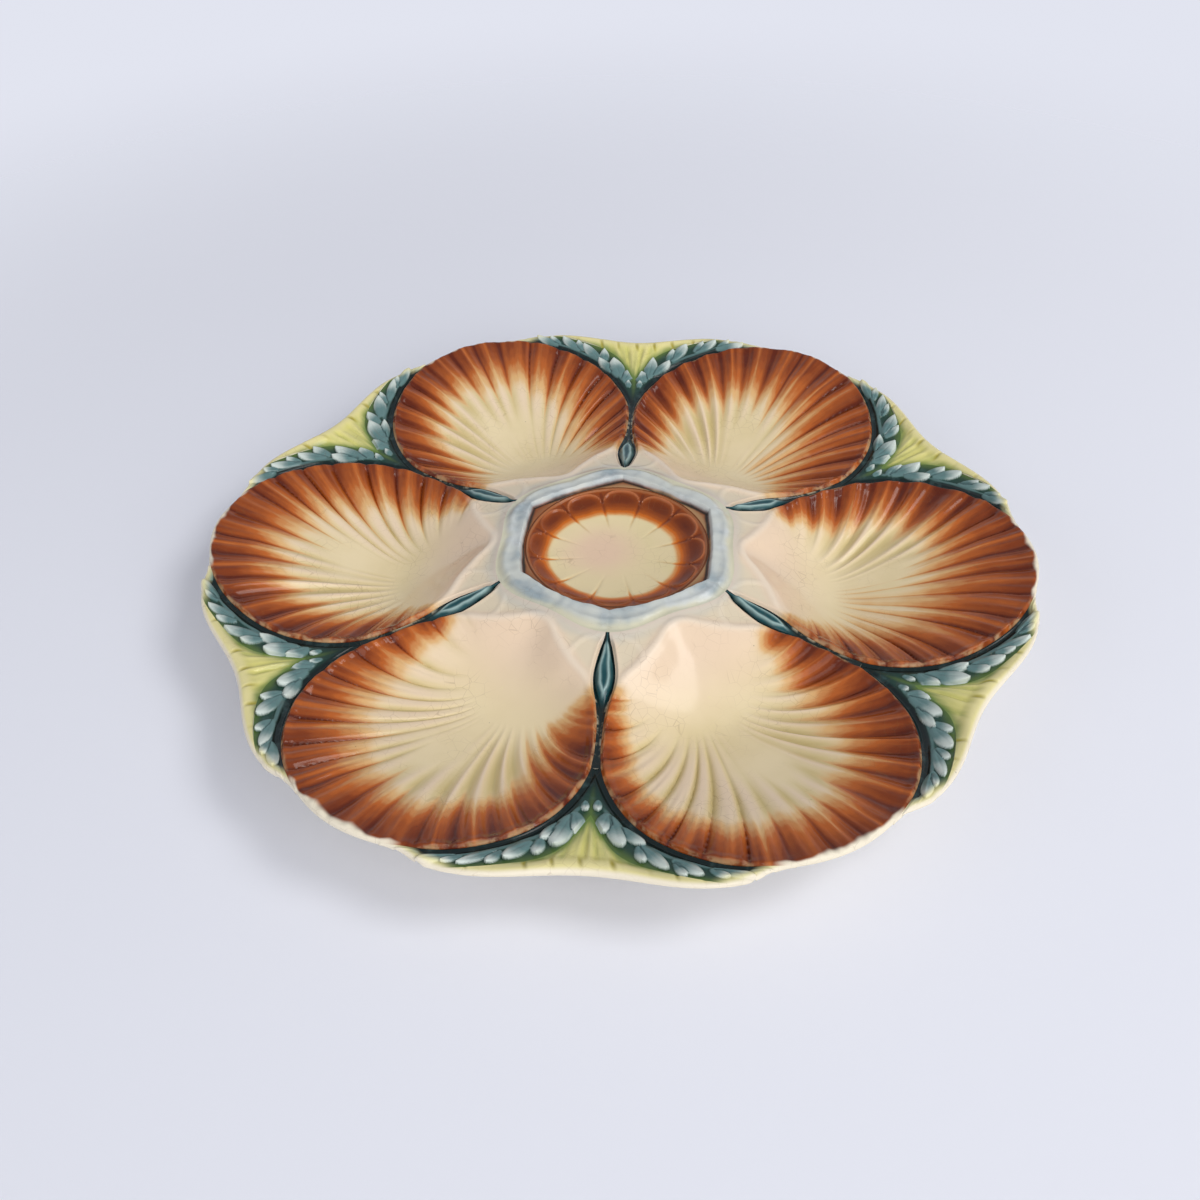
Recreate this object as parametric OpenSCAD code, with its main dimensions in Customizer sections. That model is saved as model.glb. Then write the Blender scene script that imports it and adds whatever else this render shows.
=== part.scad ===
// Oyster plate in glazed earthenware: six scallop shell wells round a small
// centre well, with pods and leaf sprays between the shells and a foot ring.
// The plate stands on the table at zero height, with its middle at the origin.
// Shell 1 points along +X and the others follow by equal turns.

/* [Plate] */
// Radius of the ring on which the middles of the shells lie
shell_ring_r = 70; // [67:0.5:74]
// Length from the middle of a shell to its tip at the rim
shell_reach = 52.5; // [48:0.5:56]
// Height of the collar's seat over the table
collar_h = 22; // [20:0.5:28]
// Thickness of the ware
wall = 5; // [3.5:0.25:5.5]
// How far the plate dips below the collar's seat, wells left out
dish_drop = 6; // [3:0.1:7]
// How far the shell tips stand above the collar's seat
rim_rise = 1.3; // [0:0.1:4]

/* [Shells] */
// Depth of a shell well at the middle of the shell
well_depth = 9.3; // [6:0.1:10.5]
// Height of the ribs over the bowl of a shell
rib_relief = 0.8; // [0:0.1:1.5]
// Height of a shell's edge over the plate beside it
edge_relief = 0.9; // [0:0.1:2]
// Half of the gap between two shells where they come closest
channel_half_w = 1.2; // [0.8:0.1:2]

/* [Centre] */
// Radius of the centre well
centre_r = 27.5; // [20:0.5:29]
// Depth of the centre well
centre_depth = 5; // [2:0.5:8]
// Width of the collar opposite the shells
collar_w = 7; // [5.5:0.5:8]
// How much wider the collar is at its six corners
corner_extra_w = 3; // [1:0.5:4]
// Height of the collar's round back
collar_relief = 1; // [0.2:0.1:2]

/* [Leaf trim] */
// Half of the width of a pod at its widest
pod_half_w = 3; // [2:0.1:4]
// Height of a pod over the floor of its channel
pod_relief = 2; // [0.5:0.1:3]
// How far the channel's floor dips further on the way from end to end
channel_dip = 0.8; // [0:0.1:1.4]
// How much of the room between a shell and the line to the next one a leaf spray takes at its widest
spray_share = 0.392; // [0.3:0.01:0.45]
// Height of the leaflets over their ground
leaf_relief = 1.8; // [0.5:0.1:3]
// How far the ground of the pods and sprays lies below the plate beside it
ground_drop = 0.9; // [0:0.1:1.5]
// How far the rim reaches between two shells, from the fork of two sprays to the ring of the tips
notch_share = 0.714; // [0.6:0.01:0.9]
// Height of the pale lip along the rim between two sprays
lip_relief = 0.6; // [0:0.1:1.5]

/* [Foot] */
// How far the middle of the foot ring's width lies inside the ring of the shells' middles
foot_inset = 11; // [4:0.5:20]
// Width of the foot ring
foot_w = 6; // [4:0.5:10]
// Height of the foot ring under the wells
foot_h = 2; // [1:0.25:3]
// Gap between the foot ring's wall and the underside over it
foot_gap = 0.4; // [0.3:0.1:1]

/* [Hidden] */
// How far the underside curls up towards the rim, and over what width
rim_curl = 1.8;
rim_curl_w = 12;

shell_count = 6;
half_turn = 180 / shell_count;
tip_r = shell_ring_r + shell_reach;
foot_r = shell_ring_r - foot_inset;
collar_flat_r = centre_r + collar_w;
collar_corner_r = collar_flat_r + corner_extra_w;
// Where the underside starts to rise again to the rim, and the plate is lowest
dish_share = 0.15;
dish_r = shell_ring_r + dish_share * shell_reach;
side_reach = shell_ring_r * tan(half_turn) - channel_half_w / cos(half_turn);

// Shell outline from the tip round to the hinge every 15 degrees: 0 is the side's reach, 1 the tip's
outline_shares = [1, 0.94, 0.83, 0.66, 0.48, 0.24, 0, -0.27, -0.42, -0.57, -0.74, -0.68, -0.46];
// The bowl: how its depth falls with the share of the way out, and how it tilts along the shell
bowl_power = 2.2;
tip_tilt_share = 1.3;
hinge_tilt_share = 0.7;
// Where the ribs fan out from, as a share of the way from the shell's middle to the hinge
hub_share = 0.4;
// Rings of a shell's grid, with the relief of the ribs and of the edge on each
shell_rings = [0.3, 0.5, 0.65, 0.78, 0.9, 0.97, 1];
rib_ring_shares = [0, 0.25, 0.6, 0.9, 1, 0.8, 0.3];
edge_ring_shares = [0, 0, 0.05, 0.25, 0.7, 1, -0.4];
under_rings = [0.45, 0.8, 1];
// Turn between two stations on the outline, where a rib takes four
step_angle = 3;
stations_per_rib = 4;
// Stations along the pod's edge, and on the collar's arc
pod_steps = 16;
arc_steps = 10;
// Half of the turn that a pod's end takes up on the collar
pod_end_angle = 0.8;
// Stations from the tip at which the ribs begin and end to die away towards the hinge
rib_full_station = 36;
rib_end_station = 43;

// Pod half width along its channel, beyond an even taper from end to end
pod_shares = [0, 0.34, 0.61, 0.76, 0.63, 0.31, 0.07, -0.06, -0.11, -0.1, 0];
// Height of the pod along its channel, the rest of which is floor, and the floor's dip
pod_height_shares = [0.3, 0.7, 1, 1, 0.8, 0.4, 0.1, 0, 0, 0, 0];
dip_shares = [0, 0.6, 1, 1, 0.9, 0.7, 0.5, 0.4, 0.3, 0.2, 0];
across_shares = [0, 0.17, 0.34, 0.5, 0.66, 0.83, 1];
across_height_shares = [0, 0.45, 0.9, 0.75, 0.9, 0.45, 0];

// Turns about a shell's middle: a spray's thin end near the tip, its widest, the fork, and the narrowest place
spray_end_angle = 15;
widest_angle = 60;
fork_angle = 75;
side_angle = 90;
fork_steps = (side_angle - fork_angle) / step_angle;
fork_r = shell_ring_r * sin(fork_angle) / sin(fork_angle - half_turn);
// Last turn of the shell at which a spray has rim panel beside it
panel_angle = 33;
leaf_across_shares = [0, 0.16, 0.38, 0.6, 0.82, 1];
leaf_height_shares = [0, 0.55, 1, 0.9, 0.5, 0.1];
// How far a leaflet's crest leans along the spray from its inner to its outer side, in degrees
leaf_lean_angle = 150;
leaf_gap_share = 0.45;

panel_across_shares = [0, 0.35, 0.65, 0.88, 1];
panel_height_shares = [0, 0.35, 0.7, 1, 0];

collar_across_shares = [0, 0.16, 0.34, 0.66, 1];
collar_height_shares = [0, -0.4, 0.7, 1, 0.1];
centre_rings = [0.35, 0.6, 0.8, 0.93, 1];
centre_depth_shares = [0.97, 0.78, 0.42, 0.1, 0];
centre_under_rings = [0.5, 0.8, 1];
centre_under_depth_shares = [0.9, 0.42, 0];

foot_steps = 96;

// Plain helpers

function blend(a, b, share) = a + (b - a) * share;
function turned(p, turn) = [p.x * cos(turn) - p.y * sin(turn), p.x * sin(turn) + p.y * cos(turn)];
function flipped(p) = [p.x, -p.y];
function polar(r, turn) = [r * cos(turn), r * sin(turn)];
function clamped(share) = min(1, max(0, share));

// Smooth curve through evenly spaced entries of a list, which is mirrored past both ends
function mirrored(list, i) =
    let (n = len(list) - 1)
    let (k = abs(i))
    list[k > n ? 2 * n - k : k];
function along(list, share) =
    let (s = share * (len(list) - 1))
    let (i = min(floor(s), len(list) - 2))
    let (f = s - i)
    let (a = mirrored(list, i - 1))
    let (b = mirrored(list, i))
    let (c = mirrored(list, i + 1))
    let (d = mirrored(list, i + 2))
    b + f / 2 * (c - a + f * (2 * a - 5 * b + 4 * c - d + f * (3 * (b - c) + d - a)));

// Heights of the plate, in the frame of the shell that lies along +X

function outline_reach(turn) =
    blend(side_reach, shell_reach, along(outline_shares, abs(turn) / 180));
function outline_point(turn) = [shell_ring_r, 0] + polar(outline_reach(turn), turn);

function web_h(r) =
    collar_h - dish_drop + (r < dish_r
        ? dish_drop * pow((dish_r - max(r, collar_flat_r)) / (dish_r - collar_flat_r), 2)
        : (dish_drop + rim_rise) * pow((r - dish_r) / (tip_r - dish_r), 2));

function well_drop(p) =
    let (q = p - [shell_ring_r, 0])
    let (out = norm(q) / outline_reach(atan2(q.y, q.x)))
    let (forward = q.x / shell_reach)
    let (tilt = forward > 0 ? tip_tilt_share : hinge_tilt_share)
    out >= 1 ? 0 : well_depth * (1 - tilt * forward) * (1 - pow(out, bowl_power));

function bowl_h(p) = web_h(norm(p)) - well_drop(p);
function curl_h(p) = rim_curl * pow(clamped((norm(p) - tip_r + rim_curl_w) / rim_curl_w), 2);
function under_h(p) = max(foot_h, bowl_h(p) - wall + curl_h(p));

// Outlines that neighbours share

collar_end_turn = half_turn - pod_end_angle;
function collar_reach(turn) =
    blend(collar_flat_r, collar_corner_r, (1 - cos(360 / (2 * half_turn) * turn)) / 2);
function collar_point(turn) = polar(collar_reach(turn), turn);

// One edge of a pod's channel, from the collar to the side of the shell, in the shell's frame
channel_start = turned(collar_point(collar_end_turn), -half_turn);
channel_end = turned(outline_point(side_angle), -half_turn);
function channel_half(share) =
    blend(channel_start.y, channel_end.y, share) - pod_half_w * along(pod_shares, share);
function channel_point(i) =
    let (share = i / pod_steps)
    turned([blend(channel_start.x, channel_end.x, share), channel_half(share)], half_turn);

// Outer edge of a leaf spray: up the line between two shells to the fork, then round to its thin end
function valley_point(i) = polar(blend(channel_end.x, fork_r, i / fork_steps), half_turn);
// Room from a shell's outline to the line between two shells, and the share of it that a spray takes
function room(turn) = shell_ring_r * sin(half_turn) / sin(turn - half_turn) - outline_reach(turn);
spray_w = spray_share * room(widest_angle);
spray_shares = [0.13, 0.54, 0.81, 1, room(fork_angle) / spray_w];
function spray_reach(turn) =
    outline_reach(turn)
    + spray_w * along(spray_shares, (turn - spray_end_angle) / (fork_angle - spray_end_angle));
function spray_edge(turn) =
    turn >= fork_angle
    ? valley_point((side_angle - turn) / step_angle)
    : [shell_ring_r, 0] + polar(spray_reach(turn), turn);

// Rim of a panel, from the end of one spray's edge to the other's
panel_end = spray_edge(panel_angle - step_angle);
panel_end_turn = half_turn - atan2(panel_end.y, panel_end.x);
notch_r = blend(fork_r, tip_r, notch_share);
function rim_reach(turn) =
    blend(notch_r, norm(panel_end), (1 - cos(180 * turn / panel_end_turn)) / 2);

// Points round a shell, counterclockwise from its tip
function side_points() = [for (turn = [0 : step_angle : side_angle]) outline_point(turn)];
function edge_points() = [for (i = [pod_steps - 1 : -1 : 0]) channel_point(i)];
half_loop = concat(side_points(), edge_points());
shell_loop = concat(
    half_loop,
    [for (i = [1 : arc_steps - 1]) collar_point(blend(collar_end_turn, -collar_end_turn, i / arc_steps))],
    [for (i = [len(half_loop) - 1 : -1 : 1]) flipped(half_loop[i])]
);

// Points round the collar, six arcs with the pods' ends between them
collar_turns = [
    for (k = [0 : shell_count - 1], i = [0 : arc_steps])
    2 * half_turn * k + blend(-collar_end_turn, collar_end_turn, i / arc_steps)
];

// Closed solid inside a loop, from rings of heights over it and under it; the first height is the middle's
module ring_solid(middle, loop, rings, tops, under, lows) {
    n = len(loop);
    top_count = 1 + n * len(rings);
    last_top = 1 + n * (len(rings) - 1);
    last_low = top_count + 1 + n * (len(under) - 1);
    function spread(shares, heights) = concat(
        [[middle.x, middle.y, heights[0]]],
        [for (k = [0 : len(shares) - 1], j = [0 : n - 1])
            let (p = blend(middle, loop[j], shares[k]))
            [p.x, p.y, heights[1 + k * n + j]]]
    );
    function fan(first, up) = [
        for (j = [0 : n - 1])
        let (a = first + 1 + j)
        let (b = first + 1 + (j + 1) % n)
        up ? [first, b, a] : [first, a, b]
    ];
    function bands(first, count, up) = [
        for (k = [0 : count - 2], j = [0 : n - 1], half = [0, 1])
        let (a = first + 1 + k * n + j)
        let (b = first + 1 + k * n + (j + 1) % n)
        let (c = b + n)
        let (d = a + n)
        half == 0 ? (up ? [a, b, c] : [a, c, b]) : (up ? [a, c, d] : [a, d, c])
    ];
    walls = [
        for (j = [0 : n - 1], half = [0, 1])
        let (i = (j + 1) % n)
        half == 0
            ? [last_top + j, last_top + i, last_low + i]
            : [last_top + j, last_low + i, last_low + j]
    ];
    polyhedron(
        concat(spread(rings, tops), spread(under, lows)),
        concat(fan(0, true), bands(0, len(rings), true), fan(top_count, false),
               bands(top_count, len(under), false), walls)
    );
}

// Closed solid over straight rows from edge_a to edge_b, the left side on the way along; tops has a
// height for each share of each row and lows one for each end. Closed strips join their last row to the first.
module strip_solid(edge_a, edge_b, shares, tops, lows, closed = false) {
    n = len(edge_a);
    m = len(shares);
    rows = closed ? n : n - 1;
    low = n * m;
    top_points = [
        for (s = [0 : n - 1], k = [0 : m - 1])
        let (p = blend(edge_a[s], edge_b[s], shares[k]))
        [p.x, p.y, tops[s][k]]
    ];
    low_points = [
        for (s = [0 : n - 1], side = [0, 1])
        let (p = side == 0 ? edge_a[s] : edge_b[s])
        [p.x, p.y, lows[s][side]]
    ];
    upper = [
        for (s = [0 : rows - 1], k = [0 : m - 2], half = [0, 1])
        let (a = s * m + k)
        let (d = (s + 1) % n * m + k)
        half == 0 ? [a, a + 1, d + 1] : [a, d + 1, d]
    ];
    rest = [
        for (s = [0 : rows - 1], half = [0, 1], face = [0 : 2])
        let (t = (s + 1) % n)
        let (a = low + 2 * s)
        let (b = low + 2 * t)
        let (p = s * m)
        let (q = t * m)
        let (r = p + m - 1)
        let (u = q + m - 1)
        face == 0 ? (half == 0 ? [a, b, b + 1] : [a, b + 1, a + 1])
        : face == 1 ? (half == 0 ? [p, q, b] : [p, b, a])
        : (half == 0 ? [r, a + 1, b + 1] : [r, b + 1, u])
    ];
    first_cap = [for (k = [0 : m - 2]) [low, k + 1, k]];
    last = (n - 1) * m;
    last_low = low + 2 * (n - 1);
    last_cap = [for (k = [0 : m - 2]) [last_low, last + k, last + k + 1]];
    ends = concat(first_cap, [[low, low + 1, m - 1]], last_cap, [[last_low, last + m - 1, last_low + 1]]);
    polyhedron(concat(top_points, low_points), concat(upper, rest, closed ? [] : ends));
}

// Heights under both edges of a strip
function strip_lows(edge_a, edge_b) = [for (s = [0 : len(edge_a) - 1]) [under_h(edge_a[s]), under_h(edge_b[s])]];

// Height of the ribs and of the edge at a point of the shell's grid
function station(j) = min(j, len(shell_loop) - j);
function hinge_fade(j) = clamped((rib_end_station - station(j)) / (rib_end_station - rib_full_station));
function shell_relief(k, j) =
    hinge_fade(j) * (rib_relief * rib_ring_shares[k] * cos(360 / stations_per_rib * station(j))
                     + edge_relief * edge_ring_shares[k]);

module shell(i) {
    middle = [shell_ring_r - hub_share * outline_reach(180), 0];
    tops = concat([bowl_h(middle)], [
        for (k = [0 : len(shell_rings) - 1], j = [0 : len(shell_loop) - 1])
        bowl_h(blend(middle, shell_loop[j], shell_rings[k])) + shell_relief(k, j)
    ]);
    lows = concat([under_h(middle)], [
        for (k = [0 : len(under_rings) - 1], j = [0 : len(shell_loop) - 1])
        under_h(blend(middle, shell_loop[j], under_rings[k]))
    ]);
    color("peru")
    rotate(2 * half_turn * i)
    ring_solid(middle, shell_loop, shell_rings, tops, under_rings, lows);
}

module pod(i) {
    near = [for (s = [0 : pod_steps]) channel_point(s)];
    far = [for (p = near) turned(flipped(p), 2 * half_turn)];
    tops = [
        for (s = [0 : pod_steps])
        let (share = s / pod_steps)
        let (floor_h = web_h(norm(near[s])) - ground_drop - channel_dip * along(dip_shares, share))
        [for (k = [0 : len(across_shares) - 1])
            floor_h + pod_relief * along(pod_height_shares, share) * across_height_shares[k]]
    ];
    color("darkslategray")
    rotate(2 * half_turn * i)
    strip_solid(near, far, across_shares, tops, strip_lows(near, near));
}

module leaf_spray(i, left) {
    turns = [for (turn = [side_angle : -step_angle : spray_end_angle]) turn];
    inner = [for (turn = turns) outline_point(turn)];
    outer = [for (turn = turns) spray_edge(turn)];
    tops = [
        for (s = [0 : len(turns) - 1])
        let (size = along(spray_shares, clamped((turns[s] - spray_end_angle) / (fork_angle - spray_end_angle))))
        [for (k = [0 : len(leaf_across_shares) - 1])
            let (p = blend(inner[s], outer[s], leaf_across_shares[k]))
            let (wave = cos(360 / stations_per_rib * s - leaf_lean_angle * leaf_across_shares[k]))
            web_h(norm(p)) - ground_drop
            + leaf_relief * size * leaf_height_shares[k] * (1 - leaf_gap_share * (1 - wave) / 2)]
    ];
    color("cadetblue")
    rotate(2 * half_turn * i)
    mirror([0, left ? 0 : 1, 0])
    strip_solid(inner, outer, leaf_across_shares, tops, strip_lows(inner, outer));
}

module rim_panel(i) {
    side = [for (turn = [panel_angle : step_angle : fork_angle]) turned(spray_edge(turn), -half_turn)];
    count = len(side) - 1;
    border = concat(side, [for (s = [count - 1 : -1 : 0]) flipped(side[s])]);
    rim = [for (s = [-count : count])
        let (turn = panel_end_turn * s / count)
        polar(rim_reach(turn), turn)];
    tops = [
        for (s = [0 : len(border) - 1])
        [for (k = [0 : len(panel_across_shares) - 1])
            let (p = blend(border[s], rim[s], panel_across_shares[k]))
            web_h(norm(p)) - ground_drop + (ground_drop + lip_relief) * panel_height_shares[k]]
    ];
    lows = [for (s = [0 : len(border) - 1])
        [under_h(turned(border[s], s < count ? half_turn : -half_turn)),
         under_h(turned(rim[s], s < count ? half_turn : -half_turn))]];
    color("darkkhaki")
    rotate(2 * half_turn * i + half_turn)
    strip_solid(rim, border, [for (k = [len(panel_across_shares) - 1 : -1 : 0]) 1 - panel_across_shares[k]],
                [for (row = tops) [for (k = [len(row) - 1 : -1 : 0]) row[k]]],
                [for (pair = lows) [pair[1], pair[0]]]);
}

module centre_collar() {
    inner = [for (turn = collar_turns) polar(centre_r, turn)];
    outer = [for (turn = collar_turns) collar_point(turn)];
    tops = [for (turn = collar_turns) [for (share = collar_height_shares) collar_h + collar_relief * share]];
    lows = [for (turn = collar_turns) [collar_h - wall, web_h(collar_reach(turn)) - wall]];
    color("lightsteelblue")
    strip_solid(outer, inner, [for (k = [len(collar_across_shares) - 1 : -1 : 0]) 1 - collar_across_shares[k]],
                [for (row = tops) [for (k = [len(row) - 1 : -1 : 0]) row[k]]],
                [for (pair = lows) [pair[1], pair[0]]], closed = true);
}

module centre_well() {
    loop = [for (turn = collar_turns) polar(centre_r, turn)];
    tops = concat([collar_h - centre_depth], [
        for (share = centre_depth_shares, p = loop) collar_h - centre_depth * share
    ]);
    lows = concat([collar_h - centre_depth - wall], [
        for (share = centre_under_depth_shares, p = loop) collar_h - centre_depth * share - wall
    ]);
    color("sienna")
    ring_solid([0, 0], loop, centre_rings, tops, centre_under_rings, lows);
}

// The ring stands on the table. Its wall reaches up to the wells, and between them to the plate's underside.
module foot_ring() {
    radii = [foot_r - foot_w / 2, foot_r + foot_w / 2];
    function seat_h(r, turn) =
        let (k = round(turn / (2 * half_turn)))
        let (h = under_h(polar(r, turn - 2 * half_turn * k)))
        max(foot_h, h - foot_gap);
    turns = [for (s = [0 : foot_steps - 1]) 360 * s / foot_steps];
    inner = [for (turn = turns) polar(radii[0], turn)];
    outer = [for (turn = turns) polar(radii[1], turn)];
    tops = [for (turn = turns) [seat_h(radii[1], turn), seat_h(radii[0], turn)]];
    color("ivory")
    strip_solid(outer, inner, [0, 1], tops, [for (turn = turns) [0, 0]], closed = true);
}

centre_well();
centre_collar();
foot_ring();
for (i = [0 : shell_count - 1]) {
    shell(i);
    pod(i);
    leaf_spray(i, true);
    leaf_spray(i, false);
    rim_panel(i);
}
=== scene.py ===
"""Oyster plate in glazed earthenware: six scallop shell wells round a centre well."""
import math
import bpy
import numpy as np
from bpy.props import FloatProperty, FloatVectorProperty, PointerProperty
from bpy.types import Operator, Panel, PropertyGroup
from mathutils import Matrix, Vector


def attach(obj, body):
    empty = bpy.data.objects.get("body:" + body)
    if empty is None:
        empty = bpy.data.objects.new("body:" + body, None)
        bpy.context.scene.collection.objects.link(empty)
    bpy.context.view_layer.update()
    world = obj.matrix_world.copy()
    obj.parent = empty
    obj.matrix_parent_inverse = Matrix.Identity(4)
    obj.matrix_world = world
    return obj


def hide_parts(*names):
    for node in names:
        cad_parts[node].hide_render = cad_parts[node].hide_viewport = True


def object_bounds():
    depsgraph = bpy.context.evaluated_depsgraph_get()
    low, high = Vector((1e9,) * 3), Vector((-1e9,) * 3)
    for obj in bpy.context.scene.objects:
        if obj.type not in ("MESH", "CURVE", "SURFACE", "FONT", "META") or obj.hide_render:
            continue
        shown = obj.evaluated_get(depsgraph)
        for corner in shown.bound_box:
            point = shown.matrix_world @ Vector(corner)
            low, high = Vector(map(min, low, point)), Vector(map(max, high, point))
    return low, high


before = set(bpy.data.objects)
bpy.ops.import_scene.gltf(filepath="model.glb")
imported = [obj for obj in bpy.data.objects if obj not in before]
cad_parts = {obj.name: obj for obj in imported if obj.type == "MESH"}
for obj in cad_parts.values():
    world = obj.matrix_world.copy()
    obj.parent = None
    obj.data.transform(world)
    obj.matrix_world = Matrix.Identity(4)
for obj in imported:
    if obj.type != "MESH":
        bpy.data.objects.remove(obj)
CAD_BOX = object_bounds()

bl_info = {
    "name": "Oyster plate",
    "version": (1, 0, 0),
    "blender": (4, 5, 0),
    "location": "View3D > Sidebar > Oyster plate",
    "description": "Builds a glazed oyster plate with six scallop shells on its packed frame",
    "category": "Object",
}

MM = 0.001
SHELLS = 6
HALF = math.pi / SHELLS  # half of one shell's sector
SHARP = math.radians(55)

# Sizes of the ware in millimetres, as in the part's source
RING_R = 70.0
REACH = 52.5
COLLAR_H = 22.0
WALL = 5.0
DROP = 6.0
RISE = 1.3
WELL_DEPTH = 9.3
GAP_HALF = 1.2
CENTRE_R = 27.5
COLLAR_W = 7.0
CORNER_W = 3.0
POD_HALF_W = 3.0
CHANNEL_DIP = 0.8
GROUND = 0.9
SPRAY_SHARE = 0.392
NOTCH_SHARE = 0.714
FOOT_INSET = 11.0
FOOT_W = 6.0
FOOT_H = 2.0
CURL = 1.8
CURL_W = 12.0

MIDDLE = np.array([RING_R, 0.0])
TIP_R = RING_R + REACH
FLAT_R = CENTRE_R + COLLAR_W
CORNER_R = FLAT_R + CORNER_W
DISH_R = RING_R + 0.15 * REACH
FOOT_R = RING_R - FOOT_INSET
SIDE = RING_R * math.tan(HALF) - GAP_HALF / math.cos(HALF)
OUTLINE = [1, 0.94, 0.83, 0.66, 0.48, 0.24, 0, -0.27, -0.42, -0.57, -0.74, -0.68, -0.46]
POD_SHARES = [0, 0.34, 0.61, 0.76, 0.63, 0.31, 0.07, -0.06, -0.11, -0.1, 0]
DIP_SHARES = [0, 0.6, 1, 1, 0.9, 0.7, 0.5, 0.4, 0.3, 0.2, 0]
END_TURN = math.radians(0.8)
SPRAY_END = math.radians(15)
WIDEST = math.radians(60)
FORK = math.radians(75)
SIDE_TURN = math.radians(90)
FORK_R = RING_R * math.sin(FORK) / math.sin(FORK - HALF)
PANEL_TURN = math.radians(30)
GROUND_TURN = math.radians(32)


# ---------------------------------------------------------------- plain helpers

def blend(a, b, share):
    return a + (b - a) * share


def smooth(x, low, high):
    """0 below low, 1 above high, and the cubic 3s^2 - 2s^3 between; high may be the lower one."""
    s = np.clip((x - low) / (high - low), 0, 1)
    return s * s * (3 - 2 * s)


def along(entries, share):
    """Smooth curve through evenly spaced entries, which are mirrored past both ends."""
    table = np.asarray(entries, float)
    n = len(table) - 1
    s = np.clip(share, 0, 1) * n
    i = np.minimum(np.floor(s).astype(int), n - 1)
    f = s - i

    def entry(k):
        k = np.abs(k)
        return table[np.where(k > n, 2 * n - k, k)]
    a, b, c, d = entry(i - 1), entry(i), entry(i + 1), entry(i + 2)
    return b + f / 2 * (c - a + f * (2 * a - 5 * b + 4 * c - d + f * (3 * (b - c) + d - a)))


def polar(r, turn):
    return np.stack([r * np.cos(turn), r * np.sin(turn)], -1)


def turned(p, turn):
    c, s = math.cos(turn), math.sin(turn)
    return np.stack([p[..., 0] * c - p[..., 1] * s, p[..., 0] * s + p[..., 1] * c], -1)


def fold_turn(turn, half=HALF):
    """The turn within the nearest sector, between -half and half."""
    return (turn + half) % (2 * half) - half


def flipped(p):
    return p * np.array([1.0, -1.0])


def norm(p):
    return np.hypot(p[..., 0], p[..., 1])


def bump(x):
    """Round bump, 1 in the middle and 0 at a distance of 1 and beyond."""
    return np.clip(1 - x * x, 0, 1) ** 2


def wander(x, seed, waves=5):
    """Slow, seeded, smooth unevenness between about -1 and 1: a sum of sines of growing pace."""
    rng = np.random.default_rng(seed)
    total = np.zeros_like(np.asarray(x, float))
    for k in range(waves):
        total = total + np.sin(x * (k + 1) + rng.uniform(0, 2 * math.pi)) * rng.uniform(0.5, 1) / (k + 1) ** 0.7
    return total / 1.8


# ------------------------------------------------- the plate's outlines and heights

def outline_reach(turn):
    return SIDE + (REACH - SIDE) * along(OUTLINE, np.abs(turn) / math.pi)


def outline_point(turn):
    return MIDDLE + polar(outline_reach(turn), turn)


def round_middle(p):
    """Turn and distance of a place about the middle of the shell along +X, and the shell's reach there."""
    q = p - MIDDLE
    turn = np.arctan2(q[..., 1], q[..., 0])
    return turn, norm(q), outline_reach(turn)


def web_h(r):
    """Height of the plate between its wells: it dips in one parabola and rises to the rim in another."""
    inner = DROP * ((DISH_R - np.maximum(r, FLAT_R)) / (DISH_R - FLAT_R)) ** 2
    outer = (DROP + RISE) * ((r - DISH_R) / (TIP_R - DISH_R)) ** 2
    return COLLAR_H - DROP + np.where(r < DISH_R, inner, outer)


FRONT_TILT, BACK_TILT = 1.3, 0.7
BOWL_POWER = 2.2


def bowl_h(p):
    """Plate height less the bowl of the shell, whose depth tilts along it and falls towards its edge."""
    _, away, reach = round_middle(p)
    forward = (p[..., 0] - RING_R) / REACH
    tilt = np.where(forward > 0, FRONT_TILT, BACK_TILT)
    drop = WELL_DEPTH * (1 - tilt * forward) * (1 - np.minimum(away / reach, 1) ** BOWL_POWER)
    return web_h(norm(p)) - drop


def folded(p):
    """The same place in the sector of the nearest shell, as that shell sees it."""
    return polar(norm(p), fold_turn(np.arctan2(p[..., 1], p[..., 0])))


def under_h(p):
    """Underside: the bowl less the wall's thickness, curling up towards the rim."""
    p = folded(p)
    curl = CURL * np.clip((norm(p) - TIP_R + CURL_W) / CURL_W, 0, 1) ** 2
    return np.maximum(FOOT_H, bowl_h(p) - WALL + curl)


def collar_reach(turn):
    """Radius of the collar's outer edge, a cosine wave with a corner at each pod."""
    return blend(FLAT_R, CORNER_R, (1 - np.cos(math.pi / HALF * turn)) / 2)


def collar_point(turn):
    return polar(collar_reach(turn), turn)


CHANNEL_START = turned(collar_point(np.array(HALF - END_TURN)), -HALF)
CHANNEL_END = turned(outline_point(np.array(SIDE_TURN)), -HALF)


def channel_half(share):
    return blend(CHANNEL_START[1], CHANNEL_END[1], share) - POD_HALF_W * along(POD_SHARES, share)


def channel_point(share):
    """Edge of a pod's channel on the side of the shell, in the shell's frame."""
    x = blend(CHANNEL_START[0], CHANNEL_END[0], share)
    return turned(np.stack([x, channel_half(share)], -1), HALF)


def room(turn):
    return RING_R * np.sin(HALF) / np.sin(turn - HALF) - outline_reach(turn)


SPRAY_W = float(SPRAY_SHARE * room(WIDEST))
SPRAY_SHARES = [0.13, 0.54, 0.81, 1, float(room(FORK)) / SPRAY_W]


def spray_width(turn):
    """Width of a spray; its thin end runs out into the shell's edge."""
    thin = blend(0.15, 1, smooth(turn, SPRAY_END, math.radians(29)))
    return SPRAY_W * along(SPRAY_SHARES, (turn - SPRAY_END) / (FORK - SPRAY_END)) * thin


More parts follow.
